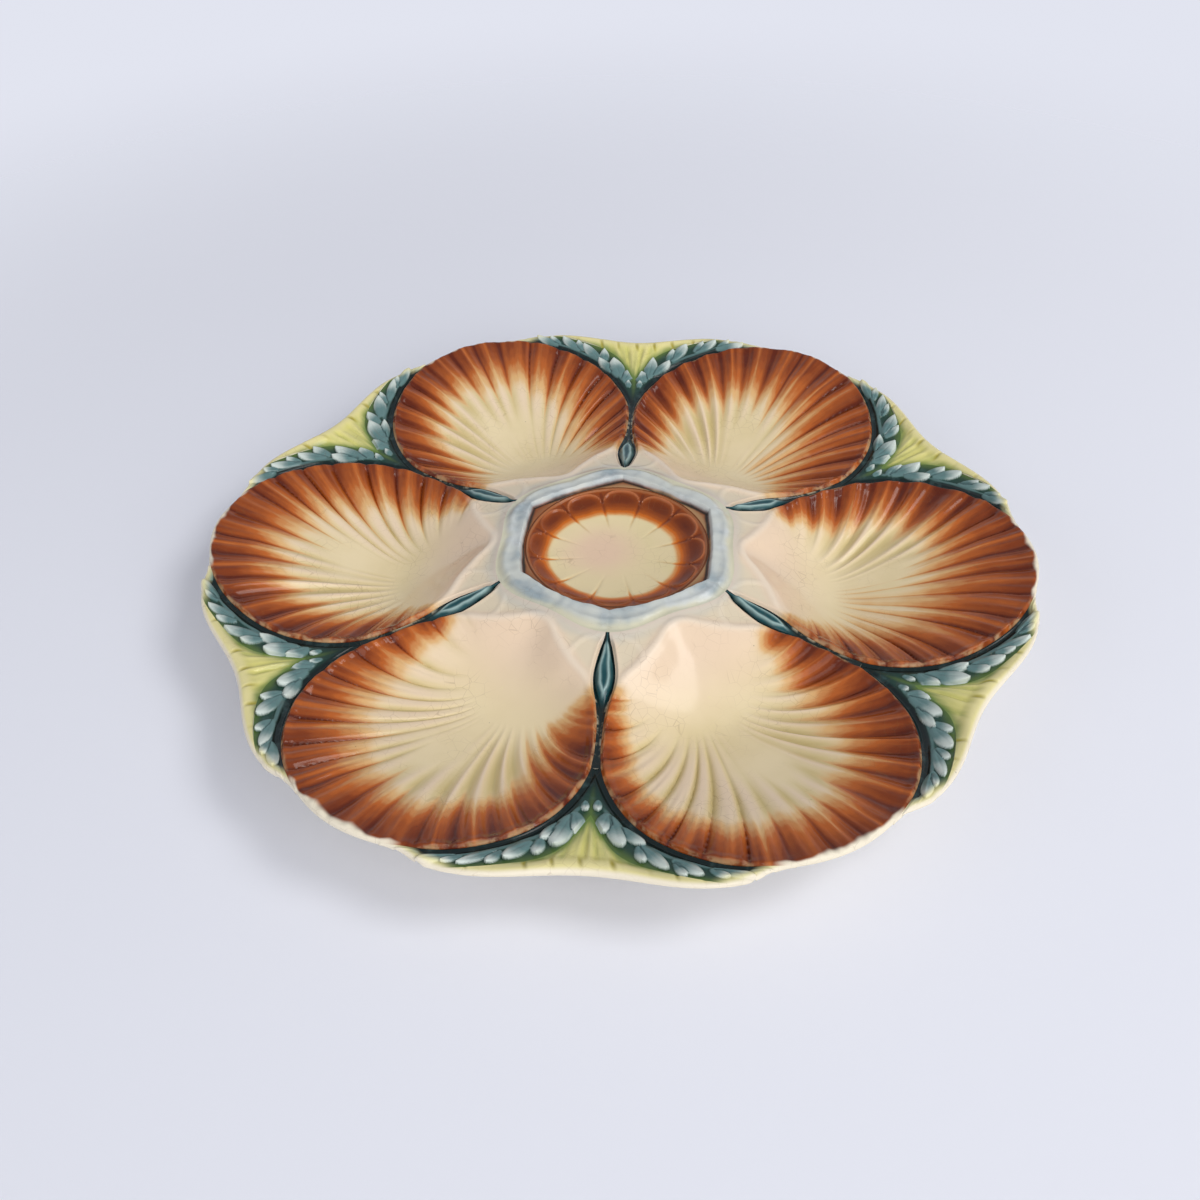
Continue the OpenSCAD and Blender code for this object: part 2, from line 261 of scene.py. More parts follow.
def spray_edge(turn):
    """Outer edge of a leaf spray: beside the outline, or on the line to the next shell past the fork."""
    valley = polar(blend(CHANNEL_END[0], FORK_R, (SIDE_TURN - turn) / (SIDE_TURN - FORK)), HALF + 0 * turn)
    beside = MIDDLE + polar(outline_reach(turn) + spray_width(turn), turn)
    return np.where((turn >= FORK)[..., None], valley, beside)


PANEL_END = spray_edge(np.array(PANEL_TURN))
PANEL_END_TURN = HALF - math.atan2(PANEL_END[1], PANEL_END[0])
NOTCH_R = blend(FORK_R, TIP_R, NOTCH_SHARE)


def rim_reach(turn):
    """Radius of the rim between two shells, a cosine wave from the notch to the sprays' ends."""
    share = (1 - np.cos(math.pi * turn / PANEL_END_TURN)) / 2
    return blend(NOTCH_R, float(norm(PANEL_END)), share)


def rim_table():
    """Radius of the plate's rim over the turn from a shell's tip to the middle of the next gap."""
    tip = outline_point(np.linspace(0, SPRAY_END, 40))
    spray = spray_edge(np.linspace(SPRAY_END, PANEL_TURN, 40))
    panel = polar(rim_reach(np.linspace(PANEL_END_TURN, 0, 60)), HALF - np.linspace(PANEL_END_TURN, 0, 60))
    p = np.concatenate([tip, spray[1:], panel[1:]])
    turn = np.arctan2(p[:, 1], p[:, 0])
    order = np.argsort(turn)
    return turn[order], norm(p)[order]


RIM_TURNS, RIM_RADII = rim_table()
ROUND_R = 1.7
CURL_IN = 2.6
CURL_REACH = 9.0


def rim_gap(p):
    """Distance in from the plate's rim, by the rim's radius at the same turn."""
    fold = fold_turn(np.arctan2(p[..., 1], p[..., 0]))
    return np.interp(np.abs(fold), RIM_TURNS, RIM_RADII) - norm(p)


def rim_round(p):
    """How far the rounded rim falls: a quarter circle from the top down to the wall."""
    d = np.clip(rim_gap(p), 0, ROUND_R)
    return ROUND_R - np.sqrt(np.maximum(ROUND_R ** 2 - (ROUND_R - d) ** 2, 0))


def tucked(p, share):
    """Moves a point of the wall or the underside in towards the middle, so that the rim curls under."""
    near = smooth(rim_gap(p), CURL_REACH, 0)
    return p * (1 - CURL_IN * near * share ** 1.6 / np.maximum(norm(p), 1))[..., None]


def ground_share(turn):
    """How far the ground beside a shell has sunk: nothing at a spray's thin end, all of it further on."""
    return smooth(np.abs(turn), SPRAY_END, GROUND_TURN)


# --------------------------------------------------------------------- mesh making

def grid_quads(rows, cols, wrap_rows, wrap_cols, first=0):
    """Quads between neighbouring points of a grid that is stored row by row."""
    r = np.arange(rows if wrap_rows else rows - 1)
    c = np.arange(cols if wrap_cols else cols - 1)
    r, c = np.meshgrid(r, c, indexing="ij")
    r2, c2 = (r + 1) % rows, (c + 1) % cols
    quads = np.stack([r * cols + c, r * cols + c2, r2 * cols + c2, r2 * cols + c], -1)
    return quads.reshape(-1, 4) + first


def signed_volume(points, quads):
    a, b, c, d = (points[quads[:, k]] for k in range(4))
    return float(np.sum(np.cross(b, c) * a) + np.sum(np.cross(c, d) * a)) / 6


def pole_fan(middle, ring):
    """Triangles from one point to a closed ring of points."""
    return np.stack([np.full(len(ring), middle), np.roll(ring, -1), ring], -1)


NO_TRIS = np.zeros((0, 3), int)


def make_piece(node, material, points, quads, glaze, tris=NO_TRIS, caps=(), uv=None, turn=0.0):
    """Mesh from points in millimetres, quads, triangles and the polygons that close a strip's ends,
    turned about the plate's axis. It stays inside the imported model's box and takes its node's place."""
    points = with_height(turned(points[:, :2], turn), points[:, 2])
    points = np.clip(points, np.array(CAD_BOX[0]) / MM, np.array(CAD_BOX[1]) / MM)
    if signed_volume(points, quads) < 0:
        quads, tris, caps = quads[:, ::-1], tris[:, ::-1], [c[::-1] for c in caps]
    mesh = bpy.data.meshes.new(node + "_glazed")
    sizes = np.concatenate([np.full(len(quads), 4), np.full(len(tris), 3), np.array([len(c) for c in caps], int)])
    loops = np.concatenate([quads.ravel(), tris.ravel(), *caps]).astype(np.int32)
    mesh.vertices.add(len(points))
    mesh.vertices.foreach_set("co", (points * MM).astype(np.float32).ravel())
    mesh.loops.add(len(loops))
    mesh.loops.foreach_set("vertex_index", loops)
    mesh.polygons.add(len(sizes))
    mesh.polygons.foreach_set("loop_start", (np.cumsum(sizes) - sizes).astype(np.int32))
    mesh.update(calc_edges=True)
    mesh.validate()
    mesh.polygons.foreach_set("use_smooth", np.ones(len(mesh.polygons), bool))
    mesh.set_sharp_from_angle(angle=SHARP)
    for key, values in glaze.items():
        layer = mesh.attributes.new(key, "FLOAT", "POINT")
        layer.data.foreach_set("value", np.asarray(values, np.float32).ravel())
    if uv is not None:
        layer = mesh.uv_layers.new(name="surface")
        layer.data.foreach_set("uv", uv.reshape(-1, 2)[loops].astype(np.float32).ravel())
    mesh.materials.append(material)
    piece = bpy.data.objects.new(node + "_glazed", mesh)
    bpy.context.scene.collection.objects.link(piece)
    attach(piece, "root")
    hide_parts(node)


def with_height(p, z):
    return np.concatenate([p, z[..., None]], -1)


WALL_STEPS = 9


def wall_rows(p, top, low, steps=WALL_STEPS):
    """Rows from a top edge down its wall to the underside, tucked in near the rim."""
    share = np.linspace(0, 1, steps + 1)[1:, None]
    z = blend(top[None], low[None], share)
    q = tucked(np.broadcast_to(p[None], (steps,) + p.shape), np.broadcast_to(share, z.shape))
    return with_height(q, z)


def ring_piece(node, material, hubs, top, lower, glaze, hub_glaze=None, uv=None, turn=0.0):
    """Closed solid of rings between two poles: the upper surface from the first pole outwards, then the
    wall and the underside in to the second pole. All but the upper surface is ivory."""
    n = top.shape[1]
    sheet = np.concatenate([top, lower])
    points = np.concatenate([hubs[:1], sheet.reshape(-1, 3), hubs[1:]])
    first = 1 + np.arange(n)
    last = first + (len(sheet) - 1) * n
    tris = np.concatenate([pole_fan(0, first), pole_fan(len(points) - 1, last)[:, ::-1]])
    covered = slice(1, 1 + len(top) * n)
    full = {}
    for key, values in glaze.items():
        full[key] = np.full(len(points), float(key == "ivory"))
        full[key][0] = (hub_glaze or {}).get(key, 0.0)
        full[key][covered] = values.ravel()
    if uv is not None:
        flat = np.zeros((len(points), 2))
        flat[covered] = uv.reshape(-1, 2)
        uv = flat
    make_piece(node, material, points, grid_quads(len(sheet), n, False, True, 1), full, tris,
               uv=uv, turn=turn)


def strip_piece(node, material, top, glaze, uv=None, turn=0.0, lows=None, steps=WALL_STEPS):
    """Closed solid over rows of points (row, column, 3): walls down both long sides and the underside.
    The end rows are closed by one polygon each. Where the heights of the underside along the two sides
    are given, the rows close into a loop. All but the upper surface is ivory."""
    rows, cols = top.shape[:2]
    a, b = top[:, 0, :2], top[:, -1, :2]
    share = np.linspace(1, 0, 6)[1:-1]
    flat = a[:, None] + share[None, :, None] * (b - a)[:, None]
    closed = lows is not None
    low_a, low_b = lows if closed else (under_h(a), under_h(b))
    low = blend(low_a[:, None], low_b[:, None], share) if closed else under_h(flat)
    wall_a = wall_rows(a, top[:, 0, 2], low_a, steps).transpose(1, 0, 2)[:, ::-1]
    wall_b = wall_rows(b, top[:, -1, 2], low_b, steps).transpose(1, 0, 2)
    below = with_height(tucked(flat, np.ones(flat.shape[:2])), low)
    section = np.concatenate([top, wall_b, below, wall_a], axis=1)
    width = section.shape[1]
    caps = () if closed else [np.arange(width)[::-1], np.arange(width) + (rows - 1) * width]
    full = {key: np.full((rows, width), float(key == "ivory")) for key in glaze}
    for key, values in glaze.items():
        full[key][:, :cols] = values
    if uv is not None:
        spread = np.zeros((rows, width, 2))
        spread[:, :cols] = uv
        uv = spread
    make_piece(node, material, section.reshape(-1, 3), grid_quads(rows, width, closed, True), full,
               caps=caps, uv=uv, turn=turn)


# ------------------------------------------------------------------------- shells

# Distances along a shell's edge count from its tip, towards one side and less than 0 to the other
SIDE_STEPS = 210
CHANNEL_STEPS = 110
ARC_STEPS = 60
SHELL_RINGS = 98
UNDER_RINGS = 12
HUB = np.array([RING_R - 0.4 * float(outline_reach(np.array(math.pi))), 0.0])
ARC_KEYS = [-112, -95, -75, -50, -25, 0, 25, 50, 75, 95, 112]
RIB_LENGTHS = [0, 40, 75, 100, 112], [37, 39, 34, 22, 13]
OPEN_END, FAN_END = 114, 118  # ends of the edge that faces outwards, and of the ribs' fan
OWN_END = 106  # up to here the distance from the edge is measured squarely to it
HINGE_X, MIRROR_X, MIRROR_R = 46.0, 77.0, 48.0
OVAL = 40.4, 10.75, 1.4
FINE_PITCH = 3.2
EAR_X, EAR_Y = 41, 21
BROWN_MOST = 1.3  # the glaze is deepest brown where its attribute reaches this
# For each shell: shift of the ribs' fan, start of the ribs' count, how bare the ribs' crests are, how far
# the thin brown runs in, in widths of the band, how broad the bare rim is, and those widths at the keys
SHELL_LOOKS = [
    (-4.0, 0.15, 0.3, 2.8, 1.7, [3, 5, 7, 10, 14, 15, 10, 7, 5, 3, 1]),
    (-3.0, 0.45, 0.6, 2.7, 1.0, [4, 7, 10, 13, 14, 12, 10, 7, 5, 4, 1]),
    (1.0, 0.70, 0.4, 2.5, 1.0, [3, 6, 9, 11, 10, 10, 8, 7, 8, 6, 3]),
    (6.0, 0.30, 0.4, 2.3, 1.5, [1, 4, 7, 10, 12, 12, 10, 8, 7, 6, 3]),
    (5.0, 0.55, 0.3, 2.5, 2.6, [0, 2, 5, 9, 11, 9, 7, 7, 8, 8, 6]),
    (-3.0, 0.85, 0.4, 2.7, 2.0, [1.5, 2, 3, 4.5, 6, 7.5, 8.5, 8.5, 6, 3, 1.5]),
]


def shell_loop():
    """Stations round a shell from its tip: points, edge drop, lip share and distance along the edge."""
    turn = np.linspace(0, SIDE_TURN, SIDE_STEPS + 1)
    share = np.linspace(1, 0, CHANNEL_STEPS + 1)[1:]
    arc = np.linspace(1, -1, ARC_STEPS + 1)[1:-1] * (HALF - END_TURN)
    half = np.concatenate([outline_point(turn), channel_point(share)])
    drop = np.concatenate([GROUND * ground_share(turn), GROUND * smooth(share, 0, 0.08)])
    lip = np.concatenate([ground_share(turn) * 0.9 + 0.1, smooth(share, 0.3, 0.5)])
    steps = np.concatenate([[0], np.cumsum(norm(np.diff(half, axis=0)))])
    points = np.concatenate([half, collar_point(arc), flipped(half[:0:-1])])
    zero = np.zeros(len(arc))
    return (points, np.concatenate([drop, zero, drop[:0:-1]]),
            np.concatenate([lip, zero, lip[:0:-1]]),
            np.concatenate([steps, np.linspace(1, -1, len(arc)) * steps[-1], -steps[:0:-1]]))


def rib_place(p, border, steps, shift):
    """Distance along the edge at which the rib through p comes out. The ribs are arcs of circles
    through the hinge and its mirror image in the shell's edge, so they meet the edge squarely."""
    z = p[..., 0] + 1j * p[..., 1]
    hinge = HINGE_X + 1j * shift
    mirror = MIRROR_X + MIRROR_R ** 2 / np.conj(hinge - MIRROR_X)

    def fan(w):
        return np.angle((w - hinge) / (w - mirror))
    keep = np.abs(steps) < FAN_END
    edge = fan(border[keep, 0] + 1j * border[keep, 1])
    order = np.argsort(edge)
    return np.interp(fan(z), edge[order], steps[keep][order])


def edge_distance(p, border, steps):
    """Distance in the plan from each point to the shell's open edge, which leaves out the collar's arc."""
    edge = border[np.abs(steps) < OPEN_END]
    return np.stack([np.sqrt(((row[:, None] - edge[None]) ** 2).sum(-1).min(-1)) for row in p])


def shell_grid():
    """What all six shells share: the loop round a shell and a grid of rings that close in on its hub."""
    border, drop, lip, steps = shell_loop()
    x = np.linspace(0, 1, SHELL_RINGS + 1)[1:]
    t = 1 - (1 - x) ** 1.5
    t[-1] = 1
    tangent = np.roll(border, -1, 0) - np.roll(border, 1, 0)
    tangent /= norm(tangent)[:, None]
    spoke = border - HUB
    square = np.abs(spoke[:, 0] * tangent[:, 1] - spoke[:, 1] * tangent[:, 0])
    p = HUB + t[:, None, None] * spoke[None]
    edge_gap = (1 - t)[:, None] * square[None]
    far = edge_distance(p, border, steps)
    own = smooth(np.abs(steps), OPEN_END - 1, OWN_END)[None] * smooth(far, 4, 1)
    return dict(border=border, drop=drop, lip=lip, steps=steps, p=p, edge_gap=edge_gap,
                inward=blend(far, edge_gap, own))


def soft_bowl(p):
    """The bowl with a rounded brim at the hinge. Towards its middle the outline that it follows turns
    into a plain oval, so that no valley runs in from the beak."""
    turn, away, reach = round_middle(p)
    out = away / reach
    oval = away / (OVAL[0] + OVAL[1] * np.cos(turn) + OVAL[2] * np.cos(2 * turn))
    out = blend(oval, out, smooth(out, 0.45, 1.0))
    forward = (p[..., 0] - RING_R) / REACH
    tilt = 1 + (FRONT_TILT - 1) * np.tanh(forward / 0.12)
    drop = WELL_DEPTH * (1 - tilt * forward) * (1 - np.minimum(out, 1) ** BOWL_POWER)
    soft = blend(0.2, settings().brim_round / MM, smooth(p[..., 0], 68, 50))
    return web_h(norm(p)) - (np.sqrt(drop ** 2 + soft ** 2) - soft)


def shell_shape(grid, look, seed):
    """Grid of one shell along +X. Its height is the bowl, plus ribs that are round with a sharp
    groove between them, plus a raised edge that falls to the ground beside the shell."""
    border, drop, lip, steps = (grid[key] for key in ("border", "drop", "lip", "steps"))
    p, edge_gap, inward = grid["p"], grid["edge_gap"], grid["inward"]
    s = settings()
    shift, start, bare, tail, _, widths = look
    place = rib_place(p, border, steps, shift)
    seen = place + 2.3 * wander(place / 14, seed)
    phase = seen / (s.rib_pitch / MM) + start
    side = np.tanh(place / 30)
    phase = phase + 0.11 * side * np.sin(2 * math.pi * phase)
    off_groove = (phase % 1) - 0.5
    wave = np.abs(np.sin(math.pi * off_groove))
    length = np.interp(np.abs(place), *RIB_LENGTHS) * (1 + 0.16 * wander(phase * 0.9, seed + 3, 3))
    crest = wave ** (0.72 + 0.9 * smooth(inward, 0.2 * length, 0.9 * length))
    hinge_way = norm(p - np.array([HINGE_X + 1, shift]))
    fade = smooth(np.abs(place), FAN_END, 102) * smooth(hinge_way, 17, 36)
    rise = smooth(inward, length, 0.36 * length)
    ribs = rise * fade * (crest - 0.62) * blend(0.35, 1, smooth(inward, 0, 4)) * blend(0.6, 1, lip[None])
    ribs = ribs * smooth(inward, 0, 0.7)
    ribs = s.rib_height / MM * ribs * (1 + 0.18 * wander(phase, seed + 8, 3))
    fine = np.sin(2 * math.pi * (seen / FINE_PITCH + start + 0.45 * wander(phase, seed + 5, 3)))
    fine_rise = smooth(inward, 22, 6) * smooth(inward, 0.1, 1.5) * fade
    ribs = ribs + s.fine_depth / MM * fine * fine_rise
    edge = lip[None] * s.shell_edge / MM * (0.72 + 0.28 * wave) * bump((edge_gap - 0.9) / 2.0)
    fall = drop[None] * smooth(edge_gap, 0.9, 0)
    # a raised line runs from the beak out along the bowl's brim to both ears
    _, away, reach = round_middle(p)
    past = away - reach
    across = np.abs(p[..., 1])
    at_hinge = smooth(p[..., 0], 53, 47)
    inner = smooth(edge_gap, 0, 2.2)
    hinge = bump((past - 0.2) / 1.9) * at_hinge * smooth(across, 27, 19) * inner
    ears = smooth(past, 0.3, 4.0) * at_hinge * inner
    arc = bump((np.hypot(p[..., 0] - EAR_X, across - EAR_Y) - 8.0) / 1.5) * smooth(past, 0.2, 2.0) * inner
    z = soft_bowl(p) + ribs + edge - fall + 0.30 * hinge - 0.25 * ears + 0.20 * arc - rim_round(p)
    z[-1] = web_h(norm(border)) - drop - rim_round(border)

    # the brown glaze lies thick at the edge, thins out inwards, and runs further in along the grooves
    width = np.interp(place, ARC_KEYS, widths) * (1 + 0.13 * wander(place / 5, seed + 9, 4))
    slow = wander(seen / 1.3 + 0.04 * inward, seed + 12, 5)
    flow = smooth(inward, tail * width + 4, 0.1 * width)
    pool = (1 - wave) ** 1.3 * smooth(inward, 3.0 * width + 0.1, 0.8 * width)
    line = np.exp(-((off_groove + 0.02 * side) / 0.07) ** 2)
    top = np.exp(-((0.5 - np.abs(off_groove)) / 0.065) ** 2)
    brown = flow * (0.95 + 0.10 * slow) + 0.30 * pool * (1 - 0.6 * flow) + 0.04 * fine * flow
    brown = brown + (0.38 - 0.2 * flow) * line * smooth(inward, 3.4 * width + 3, 1.0 * width)
    brown = brown - (0.16 + 0.2 * bare) * top * flow
    brown = brown * smooth(width, 0, 2) * fade ** 0.5 * smooth(p[..., 0], 43, 52)
    inside = smooth(inward, 1.0 * length, 0.6 * length) * fade
    olive = (1 - wave) ** 0.8 * inside * (1 - flow)
    rosy = wave ** 2 * inside * (1 - flow)
    chipped = 1.0 + 0.4 * wander(steps / 3.0, seed + 20)[None]
    pale = smooth(edge_gap, chipped, 0.25) * (lip * smooth(np.abs(steps), OPEN_END - 1, 104))[None]
    spill = smooth(norm(p) - collar_reach(np.arctan2(p[..., 1], p[..., 0])), 5.0, 0.3)
    # painted highlight: the raised hinge line and the ears' arcs get a paler colour along them
    glaze = dict(brown=np.clip(brown, 0, BROWN_MOST), olive=np.clip(olive, 0, 1), rosy=rosy, pale=pale, spill=spill,
                 pink=smooth(p[..., 0], 66, 44), ear=ears, crease=np.clip(hinge + 0.5 * arc, 0, 1))
    return z, glaze, seen


def build_shell(i, grid, material):
    border, p, inward = grid["border"], grid["p"], grid["edge_gap"]
    z, glaze, seen = shell_shape(grid, SHELL_LOOKS[i], 11 * i + 5)
    bay = 0.55 + 0.8 * (1 - np.abs(np.cos(math.pi * seen * MM / settings().rib_pitch)))
    broad = (SHELL_LOOKS[i][4] - 1) * smooth(np.abs(round_middle(border)[0]), SPRAY_END, 0.4 * SPRAY_END)
    bay = bay + broad[None] * (1 + 0.3 * wander(seen / 9, i + 80, 3))
    glaze["ivory"] = smooth(inward / bay, 1.2, 0.5) * smooth(rim_gap(border), 1.2, 0.1)[None]
    share = np.linspace(1, 0, UNDER_RINGS + 1)[1:-1]
    low = HUB + share[:, None, None] * (border - HUB)[None]
    below = with_height(tucked(low, np.ones(low.shape[:2])), under_h(low))
    hubs = with_height(np.stack([HUB, HUB]), np.concatenate([soft_bowl(HUB[None]), under_h(HUB[None])]))
    lower = np.concatenate([wall_rows(border, z[-1], under_h(border)), below])
    uv = np.stack([seen, grid["inward"]], -1) / 100
    ring_piece("shell_%d" % (i + 1), material, hubs, with_height(p, z), lower, glaze,
               uv=uv, turn=2 * HALF * i)


# ------------------------------------------------------- strips: sprays, pods, rim panels

# Lobes of a leaf spray: turn about the shell's middle in degrees, distance of the base from the
# shell's edge, length, half width, and how far the lobe leans towards the shell's tip in degrees.
# Lobes with one base make up a leaf.
LOBES = [
    (77.0, 3.2, 3.4, 1.2, 40),
    (72.0, 2.8, 6.6, 2.5, 16), (70.0, 2.8, 10.6, 3.0, 48), (66.5, 3.0, 8.6, 2.1, 74),
    (57.5, 3.8, 6.2, 2.0, 30), (56.5, 3.4, 10.0, 2.3, 60),
    (46.5, 3.2, 5.6, 1.6, 42), (46.0, 2.8, 10.0, 1.8, 70),
    (37.0, 2.4, 5.4, 1.4, 58), (36.5, 2.0, 9.8, 1.7, 79),
    (26.0, 1.1, 7.0, 1.0, 84),
]
SPRAY_STEPS = 250
FORK_STEPS = 49
SPRAY_COLS = 46


def lobe_field(p, seed):
    """Lobes as round-ended drops: each is widest past its middle, and its height is the square root
    of what is left between its half width and the distance from its axis. The highest lobe counts."""
    rng = np.random.default_rng(seed)
    q = p - MIDDLE
    height, second, mask, tip = (np.zeros(p.shape[:2]) for _ in range(4))
    for turn, off, length, half, lean in LOBES:
        turn = math.radians(turn + rng.uniform(-1, 1))
        length = length * rng.uniform(0.88, 1.10)
        half = half * rng.uniform(0.88, 1.12)
        lean = math.radians(lean + rng.uniform(-8, 8))
        base = polar(float(outline_reach(np.array(turn))) + off, np.array(turn))
        out = np.array([math.cos(turn - lean), math.sin(turn - lean)])
        s = ((q - base) @ out) / length
        c = (q - base) @ np.array([-out[1], out[0]])
        c = c + 0.35 * half * (s - 0.5)
        inside = np.clip(s, 0, 1)
        half_here = half * inside ** 0.42 * np.clip(1 - inside ** 2.7, 0, 1) ** 0.62 * 1.32 + 1e-4
        f = np.where((s > 0) & (s < 1), 1 - (c / half_here) ** 2, -1)
        one = np.sqrt(np.clip(f, 0, 1)) * (0.4 + 0.6 * inside) * (0.6 + 0.4 * half / 2.5)
        vein = 0.14 * np.exp(-(c / 0.3) ** 2) * smooth(s, 0.1, 0.3) * smooth(s, 0.9, 0.6)
        one = one - vein * (f > 0)
        # painted highlight: in each lobe's outer half, its rim takes the colour of the whitish tips
        painted_rim_highlight = smooth(f, 0.75, 0.15) * smooth(inside, 0.35, 0.7)
        here = np.maximum(smooth(inside, 0.40, 0.92), 0.85 * painted_rim_highlight)
        tip = np.where(one > height, here, tip)
        mask = np.maximum(mask, smooth(f, 0.0, 0.2) * smooth(inside, 0.0, 0.08))
        second = np.maximum(second, np.minimum(height, one))
        height = np.maximum(height, one)
    seam = smooth(height - second, 0.14, 0.0) * smooth(second, 0.05, 0.25)
    # a stem runs along the shell's edge and joins the leaves
    turn, away, reach = round_middle(p)
    here, off = np.degrees(turn), away - reach
    stem_off = np.interp(here, [20, 36, 60, 78], [1.5, 2.4, 3.1, 3.6]) + 0.25 * wander(here / 7, seed)
    stem_half = np.interp(here, [20, 40, 70], [0.5, 0.8, 1.1])
    stem = bump((off - stem_off) / stem_half) * smooth(here, 78, 72) * smooth(here, 18, 24)
    stem = stem * (0.75 + 0.25 * wander(here / 3, seed + 2))
    seam = np.maximum(seam, 0.7 * stem * (1 - smooth(height, 0.1, 0.4)))
    height = np.maximum(height, 0.4 * np.sqrt(np.clip(stem, 0, 1)))
    return height - 0.22 * seam, np.maximum(mask, smooth(stem, 0.2, 0.8)), tip, seam


def build_spray(i, left, material):
    """Leaf spray on one flank of a shell. Rows run from the narrowest place between two shells round
    to the thin end near the tip, columns from the shell's edge outwards."""
    turn = np.concatenate([np.linspace(SIDE_TURN, FORK, FORK_STEPS + 1)[:-1],
                           np.linspace(FORK, SPRAY_END, SPRAY_STEPS - FORK_STEPS)])
    v = (1 - np.cos(np.linspace(0, math.pi, SPRAY_COLS))) / 2
    v = blend(np.linspace(0, 1, SPRAY_COLS), v, 0.35)
    inner, outer = outline_point(turn), spray_edge(turn)
    p = inner[:, None] + v[None, :, None] * (outer - inner)[:, None]
    wide = norm(outer - inner)[:, None]
    off = v[None] * wide
    far = (1 - v[None]) * wide
    height, mask, tip, seam = lobe_field(p, 31 * i + (7 if left else 19))
    here = np.degrees(round_middle(p)[0])
    open_end = smooth(off, 0, 0.8) * smooth(far, 0, 0.7) * smooth(turn, SIDE_TURN, SIDE_TURN - 0.04)[:, None]
    inner_rim = smooth(turn, math.radians(33), math.radians(30))[:, None]
    open_end = np.maximum(open_end, inner_rim * smooth(off, 0, 0.8))
    open_end = open_end * smooth(turn, SPRAY_END, SPRAY_END + 0.06)[:, None]
    size = np.clip(wide / SPRAY_W, 0.25, 1)
    z = web_h(norm(p)) - GROUND * ground_share(turn)[:, None]
    z = z + settings().leaf_height / MM * height * open_end * (0.55 + 0.45 * size)
    z = z - 0.45 * bump((off - 1.1) / 1.1) * smooth(turn, SPRAY_END, SPRAY_END + 0.3)[:, None]
    z = z - rim_round(p)
    line = smooth(off, 3.2, 1.7) * (1 - 0.85 * mask)
    gaps = (1 - mask) * smooth(off / wide, 1.08, 0.68)
    green = (1 - mask) * smooth(off / wide, 0.45, 0.9) * smooth(here, 88, 72)
    at_rim = smooth(here, 37, 31)
    # the whitish tips also carry a painted highlight along the lobes' rims
    glaze = dict(leaf=mask, tip=mask * tip * (1 - seam), seam=mask * seam,
                 line=np.maximum(line, smooth(here, 76, 87) * (1 - mask)), gap=gaps, green=green,
                 lip=smooth(rim_gap(p), 3.2, 0.8) * at_rim,
                 ivory=smooth(rim_gap(p), 1.3, 0.2) * at_rim * (off > 0))
    uv = np.stack([np.broadcast_to(turn[:, None] * 0.5, off.shape), off / 100], -1)
    node = "leaf_spray_%d_%s" % (i + 1, "left" if left else "right")
    top = with_height(p if left else flipped(p), z)
    strip_piece(node, material, top, glaze, uv, 2 * HALF * i)


POD_STEPS = 190
POD_COLS = 42
BODY_SHARES = [0.25, 0.55, 0.8, 0.86, 0.8, 0.5, 0.15, 0, 0, 0, 0]


def build_pod(i, material):
    """Pod and the channel behind it, along +X before it is turned. The pod is an almond with two veins
    that join at its far end, and past it the channel's floor is plain."""
    share = np.linspace(0, 1, POD_STEPS)[:, None]
    x = blend(CHANNEL_START[0], CHANNEL_END[0], share)
    half = channel_half(share)
    v = np.linspace(-1, 1, POD_COLS)
    p = np.stack([np.broadcast_to(x, (POD_STEPS, POD_COLS)), -half * v[None]], -1)
    y = p[..., 1]
    gap = np.abs(half) - np.abs(y)
    body = along(BODY_SHARES, share) * np.abs(half)
    inside = np.clip(np.abs(y) / np.maximum(body, 0.05), 0, 3)
    dome = np.sqrt(1 - np.clip(inside, 0, 1) ** 2) * smooth(share, 0.58, 0.34) * smooth(share, 0.0, 0.1)
    uneven = 1 + 0.22 * wander(x / 2.6, 3 * i + 1, 4) * np.sign(y)
    vein_y = body * 0.46 * uneven * smooth(share, 0.44, 0.36) ** 0.5
    vein = np.exp(-((np.abs(y) - vein_y) / 0.42) ** 2) * smooth(share, 0.05, 0.12) * smooth(share, 0.50, 0.42)
    floor = CHANNEL_DIP * along(DIP_SHARES, share) * smooth(gap, 0, 0.9)
    z = web_h(norm(p)) - GROUND * smooth(share, 0, 0.08) - floor
    z = z + smooth(gap, 0, 0.7) * (settings().pod_height / MM * dome + 0.35 * vein * dome)
    glaze = dict(vein=np.clip(vein, 0, 1), line=smooth(inside, 0.75, 1.05) * smooth(share, 0.6, 0.4),
                 channel=smooth(share, 0.44, 0.56) * np.ones_like(z), ivory=np.zeros_like(z),
                 worn=smooth(gap, 0.8, 0.1) * smooth(share, 0.42, 0.5) * smooth(share, 1.0, 0.8))
    strip_piece("pod_%d" % (i + 1), material, with_height(turned(p, HALF), z), glaze,
                p / 100, 2 * HALF * i)


PANEL_STEPS = 121
PANEL_COLS = 46
STREAK_X = 86
MARK_PITCH = 7.2
LIP_IN, LIP_HALF = 2.7, 2.6


